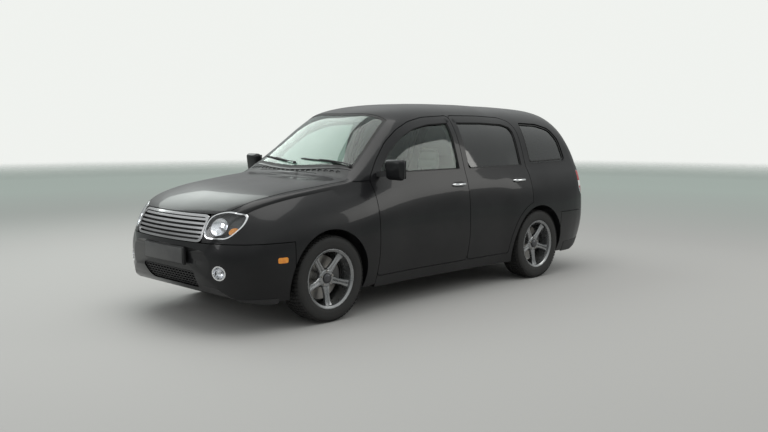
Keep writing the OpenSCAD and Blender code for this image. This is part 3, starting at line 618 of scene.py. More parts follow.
# %% [markdown]
# The fixed body side is a thick wall with openings cut in it. Each door opening is cut in two
# depths: the outer step leaves room for the door's skin and its seal, and the smaller inner hole
# leaves a flange behind it. Real body sides are pressed with the same two steps.
# %% Body sides
FENDER_T, BUMPER_T, ROOF_T, HOOD_T = 14, 25, 30, 22
AFT = [(PILLAR_X, 0), (PILLAR_X, HUGE), (HUGE, HUGE), (HUGE, 0)]
NOTCH = [(DOOR_FRONT, 0), (DOOR_FRONT, PILLAR_Z + GAP), (PILLAR_X, PILLAR_Z + GAP), (PILLAR_X, 0)]
FRONT_BUMPER_SIDE = [(FRONT_BUMPER_X, PANEL_FLOOR), (FRONT_BUMPER_X, BUMPER_TOP),
                     (HUGE, BUMPER_TOP), (HUGE, PANEL_FLOOR)]
REAR_BUMPER_SIDE = [(REAR_BUMPER_X, 0), (REAR_BUMPER_X, REAR_BUMPER_TOP),
                    (-HUGE, REAR_BUMPER_TOP), (-HUGE, 0)]
FLOOR_PLAN = [(-2120, 640), (-1900, 700), (PILLAR_X, 700), (PILLAR_X, -700), (-1900, -700),
              (-2120, -640)]
tail_pair = (TAIL_LAMP, mirrored(TAIL_LAMP))
sides = shell(0, WALL_T)
for side, _ in SIDES:
    for outline in (FRONT_DOOR, REAR_DOOR):
        cut(sides, outside(from_side(grown(outline, GAP), side), SKIN_T + SEAL_GAP))
        cut(sides, from_side(grown(outline, GAP - FLANGE), side))
    cut(sides, outside(from_side(grown(QUARTER, FIT), side), GLASS_DEPTH + GLASS_T + FIT))
    cut(sides, from_side(grown(QUARTER, -SKIN_T), side))
    cut(sides, from_side(AFT, side))
    cut(sides, outside(from_side(NOTCH, side), FENDER_T + FIT))
    cut(sides, outside(from_side(grown(REAR_BUMPER_SIDE, GAP), side), BUMPER_T + FIT))
cut(sides, outside(from_above(grown(WINDSHIELD, FIT)), 2 * GLASS_T + FIT))
cut(sides, from_above(grown(WINDSHIELD, -FLANGE)))
cut(sides, from_above(grown(COWL, FIT)))
cut(sides, outside(from_above(grown(ROOF, FIT)), ROOF_T + FIT))
cut(sides, from_above(grown(ROOF, -FLANGE)))
cut(sides, outside(from_behind(grown(TAILGATE, GAP)), WALL_T / 2))
cut(sides, from_behind(grown(TAILGATE, GAP - FLANGE)))
for outline in tail_pair:
    cut(sides, outside(from_behind(grown(outline, FIT), TAIL_END), BUMPER_T + FIT))
cut(sides, cutter(grown(FLOOR_PLAN, FIT), "above", 0, 0.39))
open_arches(sides)
fit(smooth(sides), "body_shell", "root", PAINT, "paint", "body_sides")
print("body sides:", len(sides.data.polygons), "faces")


# %% [markdown]
# Roof, fenders, bumpers and hood are cut from the same surface at their own thicknesses. The
# arch openings are cut last, through everything that they cross.
# %% Roof, cowl and front wings
roof = only(shell(0, ROOF_T / 2), from_above(ROOF))
fit(smooth(roof), "roof_skin", "root", PAINT, "paint", "roof_panel")
lining = only(shell(ROOF_T / 2, ROOF_T), from_above(ROOF))
fit(smooth(lining), "roof_lining", "root", LINING, None, "roof_panel")

cowl = only(shell(4, BUMPER_T), from_above(COWL))
for k in range(-9, 10):
    x = 1062 - 60 * (k / 9) ** 2
    slot_hole = cutter(rounded([(x - 10, k * 62 - 22), (x - 10, k * 62 + 22),
                                (x + 10, k * 62 + 22), (x + 10, k * 62 - 22)], 8), "above", .7, FAR)
    cut(cowl, outside(slot_hole, 12))
fit(smooth(cowl), "cowl_cover", "root", PLASTIC, "black_plastic", "cowl")
FIREWALL_T, FIREWALL_TOP, LINER_R = 16, 1148, 407
wall = only(shell(BUMPER_T - 1),
            slab((PILLAR_X * MM + 0.0004, -1, PANEL_FLOOR * MM),
                 ((PILLAR_X + FIREWALL_T) * MM + 0.0004, 1, FIREWALL_TOP * MM)))
for side, _ in SIDES:
    cut(wall, arch_tool(FRONT_X, side, LINER_R, 0.44))
fit(smooth(wall), "firewall", "root", UNDER, "underbody", "cowl")

hood_tool = cut(from_above(HOOD), slab((-3, -3, 0), (3, 3, HOOD_LIP * MM)))
hood_gap_tool = cut(from_above(grown(HOOD, GAP)), slab((-3, -3, 0), (3, 3, (HOOD_LIP - GAP) * MM)))
lamp_pair = (LAMP, mirrored(LAMP))
GRILLE_BOX = [(-GRILLE_HALF, BUMPER_TOP + GAP), (GRILLE_HALF, BUMPER_TOP + GAP),
              (GRILLE_HALF, HOOD_LIP - GAP), (-GRILLE_HALF, HOOD_LIP - GAP)]
fenders = shell(0, FENDER_T)
FENDER_SIDE = [(DOOR_FRONT + GAP, PANEL_FLOOR), (DOOR_FRONT + GAP, PILLAR_Z),
               (PILLAR_X, PILLAR_Z), (PILLAR_X, HUGE), (HUGE, HUGE), (HUGE, BUMPER_TOP + GAP),
               (FRONT_BUMPER_X - GAP, BUMPER_TOP + GAP), (FRONT_BUMPER_X - GAP, PANEL_FLOOR)]
only(fenders, cutter(FENDER_SIDE, "side", -FAR, FAR))
cut(fenders, hood_gap_tool)
cut(fenders, from_above(grown(WINDSHIELD, FIT)))
cut(fenders, from_above(grown(COWL, FIT)))
for outline in lamp_pair:
    cut(fenders, from_front(grown(outline, FIT)))
cut(fenders, from_front(grown(GRILLE_BOX, FIT), NOSE))
open_arches(fenders)
fit(smooth(fenders), "front_wings", "root", PAINT, "paint", "front_fenders")
LEDGE_T = 8
ledge = shell(HOOD_T + FIT, HOOD_T + FIT + LEDGE_T)
only(ledge, from_above(grown(HOOD, GAP + LEDGE_T)))
only(ledge, slab((1.2, -2, BUMPER_TOP * MM), (2.04, 2, 3)))
cut(ledge, from_above(grown(HOOD, -FENDER_T)))
for outline in lamp_pair:
    cut(ledge, from_front(grown(outline, FIT)))
fit(smooth(ledge), "hood_rail", "root", PAINT, "paint", "front_fenders")
print("front wings:", len(fenders.data.polygons), "faces")

# %% [markdown]
# The hood is a painted skin over a pressed inner frame. The frame's pockets make it stiff and
# light, and they show when the hood is up.
# %% Hood
hood = only(shell(0, HOOD_T / 2), hood_tool)
for outline in lamp_pair:
    cut(hood, from_front(grown(outline, GAP)))
fit(smooth(hood), "hood_skin", "hood", PAINT, "paint", "hood")
frame_tool = cut(from_above(grown(HOOD, -14)), slab((-3, -3, 0), (3, 3, 0.86)))
hood_frame = only(shell(HOOD_T / 2, HOOD_T), frame_tool)
for outline in lamp_pair:
    cut(hood_frame, from_front(grown(outline, GAP + 8)))
for side, _ in SIDES:
    for x0, x1, y0, y1 in ((1130, 1480, 60, 520), (1530, 1860, 60, 470), (1900, 2030, 60, 380)):
        pocket = rounded([(x0, side * y0), (x0, side * y1), (x1, side * (y1 - 30)),
                          (x1, side * y0)], 50)
        cut(hood_frame, cutter(pocket, "above", 0.7, FAR))
fit(smooth(hood_frame), "hood_frame", "hood", UNDER, "paint", "hood")
print("hood:", len(hood.data.polygons), "faces")


# %% [markdown]
# The bumper covers are soft plastic skins under the grille and the tailgate. The front one has a
# wide lower intake, a round fog lamp at each end and a hole for the towing eye, with its cap.
# %% Bumper covers
INTAKE = rounded([(-330, 300), (330, 300), (360, 430), (-360, 430)], 40)
TOW_Y, TOW_Z, TOW_R = 380, 490, 22
FOG_Y, FOG_Z, FOG_R = 600, 440, 52


def disc(y, z, radius, steps=40):
    return arc((y, z), radius, 0, 360 - 360 / steps, steps - 1)


def ring_of(outer, inner, shallow, deep, tool=from_front, start=1.5):
    """What lies between two outlines and two depths: a seal, a bezel or a trim."""
    piece = only(shell(shallow, deep), tool(outer, start))
    return cut(piece, tool(inner, start))


bumper = only(shell(0, BUMPER_T), cutter(FRONT_BUMPER_SIDE, "side", -FAR, FAR))
cut(bumper, from_front(INTAKE, NOSE))
for side, _ in SIDES:
    cut(bumper, from_front(disc(side * FOG_Y, FOG_Z, FOG_R + FIT), NOSE))
cut(bumper, from_front(disc(TOW_Y, TOW_Z, TOW_R), NOSE))
open_arches(bumper)
fit(smooth(bumper), "front_bumper_skin", "root", PAINT, "paint", "front_bumper")
rear_bumper = only(shell(0, BUMPER_T), cutter(REAR_BUMPER_SIDE, "side", -FAR, FAR))
cut(rear_bumper, slab((-3, -3, -1), (3, 3, PANEL_FLOOR * MM)))
cut(rear_bumper, slab((-2.14, -0.7, 0), (-1, 0.7, REAR_BUMPER_TOP * MM)))
open_arches(rear_bumper)
fit(smooth(rear_bumper), "rear_bumper_skin", "root", PAINT, "paint", "rear_bumper")
cap = only(shell(0.5, 8), from_front(disc(TOW_Y, TOW_Z, TOW_R - 1), NOSE))
fit(smooth(cap), "tow_eye_cap", "root", PAINT, "paint")
print("bumpers:", len(bumper.data.polygons) + len(rear_bumper.data.polygons), "faces")


# %% [markdown]
# Lower trim is grained black plastic: a mesh in the intake, a splitter under the bumper and a
# valance at the back. The mesh is rows of thin bars, and each bar is cut from the shell, so that
# it bends with the bumper.
# %% Intake mesh, splitter and valance
def bars(outline, shallow, deep, boxes, start=NOSE):
    """Bars inside an outline that follow the skin."""
    made = [only(only(shell(shallow, deep), from_front(box, start)), from_front(outline, start))
            for box in boxes]
    return join(made, "bars")


rows = [[(-400, z), (400, z), (400, z + 7), (-400, z + 7)] for z in range(312, 430, 21)]
posts = [[(y, 280), (y + 7, 280), (y + 7, 450), (y, 450)] for y in range(-340, 345, 42)]
mesh_bars = bars(grown(INTAKE, 4), 8, 20, rows + posts)
fit(smooth(mesh_bars), "intake_mesh", "root", PLASTIC, "black_plastic")
intake_back = only(shell(30, 34), from_front(grown(INTAKE, 12), NOSE))
fit(smooth(intake_back), "intake_back", "root", RUBBER, "black_plastic")
SPLITTER = [(1780, 200), (1780, 240), (2060, 252), (HUGE, 330), (HUGE, 200)]
splitter = only(shell(-2, 10), cutter(SPLITTER, "side", -FAR, FAR))
open_arches(splitter)
fit(smooth(splitter), "front_splitter", "root", PLASTIC, "black_plastic")
VALANCE = [(-1760, 205), (-1760, 300), (-2060, 320), (-HUGE, 450), (-HUGE, 205)]
valance = only(shell(-2, 10), cutter(VALANCE, "side", -FAR, FAR))
open_arches(valance)
fit(smooth(valance), "rear_valance", "root", PLASTIC, "black_plastic")
print("lower trim: mesh of", len(rows), "by", len(posts), "bars")


# %% [markdown]
# The grille is a bright frame around slim horizontal bars, with a dark mesh behind them. Chrome
# needs something dark beside it to read as bright, so the space behind is matte black.
# %% Grille
GRILLE_RIM = rounded(GRILLE_BOX, 55)
GRILLE_HOLE = rounded(grown(GRILLE_BOX, -17), 42)
grille_rim = ring_of(GRILLE_RIM, GRILLE_HOLE, 0, 20, from_front, NOSE)
bar_rows = [[(-470, z), (470, z), (470, z + 15), (-470, z + 15)] for z in range(676, 820, 30)]
grille_bars = bars(grown(GRILLE_HOLE, 3), 4, 17, bar_rows)
grille_mesh = bars(grown(GRILLE_HOLE, 2), 22, 26,
                   [[(y, 640), (y + 5, 640), (y + 5, 845), (y, 845)] for y in range(-435, 436, 18)]
                   + [[(-470, z), (470, z), (470, z + 5), (-470, z + 5)]
                      for z in range(662, 835, 18)])
grille_back = only(shell(34, 38), from_front(grown(GRILLE_RIM, -2), NOSE))
for outline in lamp_pair:
    for piece in (grille_rim, grille_bars, grille_mesh, grille_back):
        cut(piece, from_front(grown(outline, FIT), NOSE))
grille = join([grille_rim, grille_bars], "grille_bright")
fit(smooth(grille), "grille_bright", "root", SATIN, "chrome", "grille")
fit(smooth(grille_mesh), "grille_mesh", "root", PLASTIC, "black_plastic", "grille")
fit(smooth(grille_back), "grille_back", "root", RUBBER, "black_plastic", "grille")
print("grille:", len(bar_rows), "bars")


# %% [markdown]
# A head lamp is a clear cover over a bucket. In the bucket sit a bright bowl with its bulb and
# a small amber turn lamp. The bowl is a half circle spun about the way that the lamp faces.
# %% Head lamps and fog lamps
def spun(profile, centre, axis=(1, 0, 0), steps=48, name="spun"):
    """Spins a flat profile of (along, outwards) points, in millimetres, about an axis."""
    along = Vector(axis).normalized()
    out = along.orthogonal().normalized()
    verts = [Vector(centre) + along * a * MM + out * r * MM for a, r in profile]
    mesh = bpy.data.meshes.new(name)
    mesh.from_pydata([tuple(v) for v in verts], [(i, i + 1) for i in range(len(verts) - 1)], [])
    piece = bpy.data.objects.new(name, mesh)
    bpy.context.collection.objects.link(piece)
    pick(piece)
    bpy.ops.object.mode_set(mode="EDIT")
    bpy.ops.mesh.select_all(action="SELECT")
    bpy.ops.mesh.spin(steps=steps, angle=math.radians(360), center=tuple(centre), axis=tuple(along))
    bpy.ops.mesh.select_all(action="SELECT")
    bpy.ops.mesh.remove_doubles(threshold=0.00005)
    bpy.ops.mesh.select_all(action="SELECT")
    bpy.ops.mesh.normals_make_consistent(inside=False)
    bpy.ops.object.mode_set(mode="OBJECT")
    return piece


SKIN_TREE = BVHTree.FromPolygons(*skin(0))


def on_skin(start_mm, direction):
    """Where a ray meets the skin, in metres, and the skin's outward normal there."""
    spot, normal, _, _ = SKIN_TREE.ray_cast(Vector(start_mm) * MM, Vector(direction))
    return spot, normal


def bowl(spot, normal, radius, back=42, name="bowl"):
    """A reflector bowl with a bulb in it, facing the way that the skin faces."""
    centre = spot - normal * back * MM
    dish = spun([(0, 6), (3, radius * 0.45), (10, radius * 0.8), (22, radius), (24, radius),
                 (12, radius * 0.84), (2, radius * 0.5), (-4, 6)], centre, normal, name=name)
    bulb = spun([(0, 0.2), (0, 8), (14, 9), (20, 6), (22, 0.2)], centre, normal, 24)
    return coat(smooth(dish, 40), REFLECTOR), coat(smooth(bulb, 50), WHITE)


HEAD_LAMP_Y, HEAD_LAMP_Z = 548, 765
for side, label in SIDES:
    outline = LAMP if side == LEFT else mirrored(LAMP)
    spot, normal = on_skin((HUGE, side * HEAD_LAMP_Y, HEAD_LAMP_Z), (-1, 0, 0))
    dish, bulb = bowl(spot, normal, 66)
    cover = smooth(only(shell(1, 4), from_front(outline)))
    bucket = smooth(cut(only(shell(4, 50), from_front(outline)),
                        outside(from_front(grown(outline, -5)), 44)))
    bezel = smooth(ring_of(outline, grown(outline, -8), 0, 12))
    turn = smooth(only(shell(10, 15), from_front(disc(side * 640, 728, 24))))
    fit(cover, f"head_lamp_cover_{label}", "root", LENS, "lamp_lens", "front_lamps")
    fit(bucket, f"head_lamp_bucket_{label}", "root", CABIN, "lamp_lens", "front_lamps")
    fit(bezel, f"head_lamp_bezel_{label}", "root", CHROME, "chrome", "front_lamps")
    fit(turn, f"turn_lamp_{label}", "root", AMBER, None, "front_lamps")
    fit(dish, f"head_lamp_bowl_{label}", "root", REFLECTOR, "chrome", "front_lamps")
    fit(bulb, f"head_lamp_bulb_{label}", "root", WHITE, None, "front_lamps")

    spot, normal = on_skin((HUGE, side * FOG_Y, FOG_Z), (-1, 0, 0))
    fog = disc(side * FOG_Y, FOG_Z, FOG_R)
    dish, bulb = bowl(spot, normal, 38)
    glass = smooth(only(shell(3, 6), from_front(grown(fog, -7), NOSE)))
    fog_rim = smooth(ring_of(fog, grown(fog, -9), 0, 14, from_front, NOSE))
    well = smooth(ring_of(grown(fog, -1), grown(fog, -6), 12, 50, from_front, NOSE))
    fit(glass, f"fog_lamp_cover_{label}", "root", LENS, "lamp_lens", "front_lamps")
    fit(fog_rim, f"fog_lamp_rim_{label}", "root", CHROME, "chrome", "front_lamps")
    fit(well, f"fog_lamp_well_{label}", "root", CABIN, "lamp_lens", "front_lamps")
    fit(dish, f"fog_lamp_bowl_{label}", "root", REFLECTOR, "chrome", "front_lamps")
    fit(bulb, f"fog_lamp_bulb_{label}", "root", WHITE, None, "front_lamps")

    marker = rounded([(1742, 500), (1742, 540), (1822, 540), (1822, 500)], 14)
    lens = smooth(only(shell(-1.5, 5), from_side(marker, side)))
    fit(lens, f"side_marker_{label}", "root", AMBER, None)


# %% [markdown]
# The tail lamps sit in the corners of the body. Each is a red cover with a clear reversing
# window, in a thin bright rim.
# %% Tail lamps
gate_gap_tool = from_behind(grown(TAILGATE, GAP))
for side, label in SIDES:
    outline = tail_pair[0] if side == LEFT else tail_pair[1]
    window = rounded([(side * 680, 850), (side * 850, 850), (side * 850, 905),
                      (side * 680, 905)], 12)
    red = only(shell(0.5, BUMPER_T), from_behind(grown(outline, -5), TAIL_END))
    cut(red, outside(from_behind(window, TAIL_END), 6))
    clear = only(only(shell(0.5, 6), from_behind(window, TAIL_END)),
                 from_behind(grown(outline, -5), TAIL_END))
    rim = ring_of(outline, grown(outline, -5), 0, 14, from_behind, TAIL_END)
    for piece in (red, clear, rim):
        cut(piece, gate_gap_tool, keep=True)
    fit(smooth(red), f"tail_lamp_{label}", "root", RED, "red_lens", "tail_lamps")
    fit(smooth(clear), f"reverse_lamp_{label}", "root", WHITE, "red_lens", "tail_lamps")
    fit(smooth(rim), f"tail_lamp_rim_{label}", "root", CHROME, "chrome", "tail_lamps")
remove(gate_gap_tool)
print("tail lamps ready")


# %% [markdown]
# The tailgate has a painted outside and a trimmed inside, with the window held between them.
# The seal around the glass is a thin black ring that just covers its edge.
# %% Tailgate
gate = only(shell(0, SKIN_T), from_behind(TAILGATE))
cut(gate, from_behind(grown(REAR_WINDOW, -SKIN_T)))
cut(gate, outside(cutter(grown(REAR_BUMPER_SIDE, GAP), "side", -FAR, FAR), BUMPER_T + GAP))
inner = only(shell(SKIN_T, WALL_T / 2 - SEAL_GAP), from_behind(TAILGATE))
cut(inner, outside(from_behind(grown(REAR_WINDOW, FIT)), GLASS_DEPTH + GLASS_T + FIT))
cut(inner, from_behind(grown(REAR_WINDOW, -SKIN_T)))
cut(inner, outside(cutter(grown(REAR_BUMPER_SIDE, GAP), "side", -FAR, FAR), BUMPER_T + GAP))
window = only(shell(GLASS_DEPTH, GLASS_DEPTH + GLASS_T), from_behind(REAR_WINDOW))
seal = ring_of(grown(REAR_WINDOW, -SKIN_T), grown(REAR_WINDOW, -SKIN_T - 10), 5, GLASS_DEPTH,
               from_behind, -1.9)
fit(smooth(gate), "tailgate_skin", "tailgate", PAINT, "paint", "tailgate")
fit(smooth(inner), "tailgate_trim", "tailgate", CABIN, "cabin_plastic", "tailgate")
fit(smooth(window), "tailgate_window", "tailgate", WINDOW_DARK, "dark_glass", "tailgate_glass")
fit(smooth(seal), "tailgate_seal", "tailgate", RUBBER, "black_plastic", "tailgate_glass")
print("tailgate:", len(gate.data.polygons), "faces")


# %% [markdown]
# Windshield and quarter windows are curved sheets cut from the same surface, a little under the
# paint. A black band hides the glue line around each real car window.
# %% Fixed windows
shield = only(shell(GLASS_T, 2 * GLASS_T), from_above(WINDSHIELD))
fit(smooth(shield), "windshield_glass", "root", WINDOW_CLEAR, "clear_glass", "windshield")
band = cut(only(shell(3, GLASS_T), from_above(WINDSHIELD)), from_above(grown(WINDSHIELD, -24)))
fit(smooth(band), "windshield_band", "root", RUBBER, "black_plastic", "windshield")
for side, label in SIDES:
    pane = only(shell(GLASS_DEPTH, GLASS_DEPTH + GLASS_T), from_side(QUARTER, side))
    fit(smooth(pane), f"quarter_window_{label}", "root", WINDOW_DARK, "dark_glass",
        "quarter_glass")
    edge = cut(only(shell(6, GLASS_DEPTH), from_side(grown(QUARTER, -SKIN_T), side)),
               from_side(grown(QUARTER, -SKIN_T - 9), side))
    fit(smooth(edge), f"quarter_seal_{label}", "root", RUBBER, "black_plastic")
print("fixed windows:", 3)


# %% [markdown]
# Each door is a painted skin, an inner trim panel and a window with its seal. The trim is set in
# from the skin all round, so the skin covers the gap when the door is shut.
# %% Doors
DOORS = (("front", FRONT_DOOR, FRONT_WINDOW, WINDOW_CLEAR, "clear_glass"),
         ("rear", REAR_DOOR, REAR_WINDOW_SIDE, WINDOW_DARK, "dark_glass"))
for side, label in SIDES:
    for row_name, outline, opening, glass_finish, glass_slot in DOORS:
        body = f"{row_name}_door_{label}"
        outer = only(shell(0, SKIN_T), from_side(outline, side))
        lower = only(shell(SKIN_T, WALL_T), from_side(grown(outline, -FLANGE), side))
        cut(outer, from_side(grown(opening, -SKIN_T), side))
        cut(lower, outside(from_side(grown(opening, FIT), side), GLASS_DEPTH + GLASS_T + FIT))
        cut(lower, from_side(grown(opening, -SKIN_T), side))
        if row_name == "rear":
            for piece in (outer, lower):
                cut(piece, cut(arch_tool(REAR_X, side, 398, 0.59), shell(-30, FENDER_T)))
        pane = only(shell(GLASS_DEPTH, GLASS_DEPTH + GLASS_T), from_side(opening, side))
        edge = cut(only(shell(6, GLASS_DEPTH), from_side(grown(opening, -SKIN_T), side)),
                   from_side(grown(opening, -SKIN_T - 9), side))
        fit(smooth(outer), f"{body}_skin", body, PAINT, "paint", body)
        fit(smooth(lower), f"{body}_trim", body, CABIN, "cabin_plastic", body)
        fit(smooth(pane), f"{body}_window", body, glass_finish, glass_slot,
            f"{row_name}_glass_{label}")
        fit(smooth(edge), f"{body}_seal", body, RUBBER, "black_plastic")
print("doors: 4, each in 4 pieces")


# %% [markdown]
# A tyre is a profile spun round its axle, with tread blocks on it. One slanted row of blocks is
# modelled once and copied round. The main grooves are the gaps between the blocks of a row.
# %% Tyre
WHEEL_Y = WHEELBASE_FRONT.y / MM
TYRE_R, TREAD_BASE, TREAD_ROWS = 327, 320, 66
TREAD_BLOCKS = ((-100, -66, 6), (-59, -25, 0), (-18, 18, 0), (25, 59, 0), (66, 100, 6))
carcass = spun([(-99, 229), (-105, 240), (-107, 262), (-106.5, 270), (-107.4, 274), (-106, 290),
                (-102, 306), (-96, 314), (-84, 319), (-60, 320), (60, 320), (84, 319), (96, 314),
                (102, 306), (106, 290), (107.4, 274), (106.5, 270), (107, 262), (105, 240),
                (99, 229), (90, 226), (0, 224), (-90, 226), (-99, 229)], (0, 0, 0), (0, 1, 0), 96,
               "carcass")


def tread_row(turn):
    """Corners and faces of one slanted row of blocks at an angle round the tyre."""
    verts, faces = [], []
    pitch = math.radians(360 / TREAD_ROWS)
    for y0, y1, drop in TREAD_BLOCKS:
        first = len(verts)
        for radius, shrink in ((TREAD_BASE - 3, 0.0), (TYRE_R, 0.07)):
            for y, side_drop in ((y0, drop if y0 < 0 else 0), (y1, drop if y1 > 0 else 0)):
                for edge in (shrink, 0.8 - shrink):
                    angle = turn + pitch * (edge + 0.5 * abs(y) / 100)
                    reach = radius - (side_drop if radius == TYRE_R else 0)
                    verts.append((reach * math.cos(angle) * MM, y * MM,
                                  reach * math.sin(angle) * MM))
        a, b, c, d, e, f, g, h = range(first, first + 8)
        faces += [(e, f, h, g), (a, c, d, b), (a, b, f, e), (c, g, h, d), (a, e, g, c),
                  (b, d, h, f)]
    return verts, faces


def recalculated(piece):
    pick(piece)
    bpy.ops.object.mode_set(mode="EDIT")
    bpy.ops.mesh.select_all(action="SELECT")
    bpy.ops.mesh.normals_make_consistent(inside=False)
    bpy.ops.object.mode_set(mode="OBJECT")
    return piece


verts, faces = [], []
for k in range(TREAD_ROWS):
    row_verts, row_faces = tread_row(2 * math.pi * k / TREAD_ROWS)
    faces += [tuple(v + len(verts) for v in face) for face in row_faces]
    verts += row_verts
tread = recalculated(mesh_piece("tread", verts, faces))
tyre = coat(join([smooth(carcass, 40), tread], "tyre"), TYRE)
print("tyre:", len(tyre.data.polygons), "faces")


# %% [markdown]
# The alloy wheel is a spun barrel with bright lips, a hub, and five spokes that widen towards
# the rim. A spoke is a loft: rings of points with a skin through them.
# %% Alloy wheel
def lofted(rings, name="loft"):
    """A closed skin through rings with equal numbers of points."""
    n = len(rings[0])
    verts = [v for ring in rings for v in ring]
    faces = [(i * n + j, i * n + (j + 1) % n, (i + 1) * n + (j + 1) % n, (i + 1) * n + j)
             for i in range(len(rings) - 1) for j in range(n)]
    faces += [tuple(range(n)), tuple(range((len(rings) - 1) * n, len(rings) * n))]
    return recalculated(mesh_piece(name, verts, faces))


barrel = spun([(-100, 226), (-96, 228), (-92, 226), (-86, 210), (86, 210), (92, 226), (96, 228),
               (100, 226), (101, 221), (97, 217), (90, 206), (60, 199), (-90, 199), (-98, 210),
               (-100, 226)], (0, 0, 0), (0, 1, 0), 96, "barrel")
hub = spun([(-28, 31), (-28, 75), (5, 75), (20, 74), (40, 70), (48, 63), (50, 58), (50, 40),
            (46, 36), (40, 31), (-28, 31)], (0, 0, 0), (0, 1, 0), 64, "hub")
SPOKE_ROWS = ((58, 64, 44, 14), (80, 54, 49, 18), (110, 47, 54, 24), (140, 45, 58, 30),
              (170, 49, 63, 36), (195, 60, 69, 42), (207, 74, 74, 48))
spokes = []
for k in range(5):
    rings = []
    for radius, width, front, back in SPOKE_ROWS:
        half = width / 2
        section = ((-half, back), (-half, front - 7), (-half + 6, front), (-7, front + 1),
                   (0, front - 6), (7, front + 1), (half - 6, front), (half, front - 7),
                   (half, back))
        rings.append([(y, radius, across) for across, y in section])
    turn = Matrix.Rotation(math.radians(72 * k + 18), 4, "Y")
    rings = [[turn @ Vector((radius, y, across)) * MM for y, radius, across in ring]
             for ring in rings]
    spokes.append(lofted(rings, "spoke"))
alloy = join([smooth(barrel, 40), smooth(hub, 40)] + [smooth(s, 35) for s in spokes], "alloy")
cap = smooth(spun([(50, 39), (58, 38), (66, 31), (70, 17), (71, 0.3), (63, 0.3), (62, 30),
                   (50, 34), (50, 39)], (0, 0, 0), (0, 1, 0), 48, "cap"), 40)
bolts = []
for k in range(5):
    turn = Matrix.Rotation(math.radians(72 * k + 54), 4, "Y")
    spot = turn @ Vector((0.055, 0, 0))
    bolts.append(spun([(40, 0.2), (40, 9), (54, 9), (58, 6), (58, 0.2)], spot, (0, 1, 0), 6))
bolts = join(bolts, "bolts")
disc_plate = smooth(spun([(-38, 32), (-38, 168), (-28.6, 168), (-28.6, 32), (-38, 32)],
                         (0, 0, 0), (0, 1, 0), 72, "disc"), 30)
caliper = recalculated(join([
    lofted([[Vector((r * math.cos(a), y, r * math.sin(a))) * MM
             for y, r in section] for a in np.radians(np.linspace(150, 205, 8))], "caliper")
    for section in (((-62, 108), (-62, 186), (-40, 186), (-40, 108)),
                    ((-62, 171), (-62, 190), (-6, 190), (-6, 171)),
                    ((-26, 108), (-26, 186), (-6, 186), (-6, 108)))], "caliper"))
print("wheel:", len(alloy.data.polygons), "faces")


# %% [markdown]
# Each wheel gets its own copy of every piece. A right wheel is the left one mirrored, with its
# faces turned the right way again.
# %% Fit the four wheels
def at_wheel(piece, x, side, name):
    copy = twin(piece, name)
    copy.data.transform(Matrix.Translation((x * MM, side * WHEEL_Y * MM, HUB_Z * MM))
                        @ Matrix.Diagonal((1, side, 1, 1)))
    if side == RIGHT:
        copy.data.flip_normals()
    return copy


for end, x in (("front", FRONT_X), ("rear", REAR_X)):
    for side, label in SIDES:
        body, place_name = f"{end}_wheel_{label}", f"{end}_{label}"
        for piece, name, finish, slot_name, node in (
                (tyre, "tyre_tread", TYRE, "tyre", f"tyre_{place_name}"),
                (alloy, "wheel_alloy", ALLOY, "alloy", f"rim_{place_name}"),
                (cap, "wheel_cap", ALLOY_DARK, "alloy", f"rim_{place_name}"),
                (bolts, "wheel_bolts", STEEL, "alloy", f"rim_{place_name}"),
                (disc_plate, "brake_disc", STEEL, None, f"rim_{place_name}")):
            copy = at_wheel(piece, x, side, f"{name}_{place_name}")
            fit(copy, copy.name, body, finish, slot_name, node)
        holder = f"knuckle_{label}" if end == "front" else "root"
        copy = at_wheel(caliper, x, side, f"brake_caliper_{place_name}")
        fit(copy, copy.name, holder, CAST, "cast_block")
remove(tyre, alloy, cap, bolts, disc_plate, caliper)
print("wheels: 4 fitted")


# %% [markdown]
# Small outside pieces finish the body: mirrors, door handles, wipers, number plates and the
# rear wiper. Each takes its place from the skin: a ray sent at the car tells where the surface is.
# %% Mirrors
def block(low, high, round_mm=6, segments=3, name="block"):
    """A solid with rounded edges between two corners, in millimetres."""
    low, high = Vector(low), Vector(high)
    bpy.ops.mesh.primitive_cube_add(size=1, location=(low + high) / 2 * MM,
                                    scale=(high - low) * MM)
    piece = settle(bpy.context.object)
    use(piece, "BEVEL", width=round_mm * MM, segments=segments, limit_method="NONE")
    piece.name = name
    return smooth(piece, 40)


def swept(points_mm, half_wide, half_thick, up=(0, 0, 1), corners=8, name="swept"):
    """A bar with an oval section along points. Its ends are drawn in."""
    points = [Vector(p) for p in points_mm]
    rings = []
    for i, here in enumerate(points):
        ahead = (points[min(i + 1, len(points) - 1)] - points[max(i - 1, 0)]).normalized()
        side = ahead.cross(Vector(up)).normalized()
        rise = side.cross(ahead)
        shrink = 0.55 if i in (0, len(points) - 1) else 1.0
        rings.append([(here + side * half_wide * shrink * math.cos(a)
                       + rise * half_thick * shrink * math.sin(a)) * MM
                      for a in (2 * math.pi * k / corners for k in range(corners))])
    return smooth(lofted(rings, name), 50)


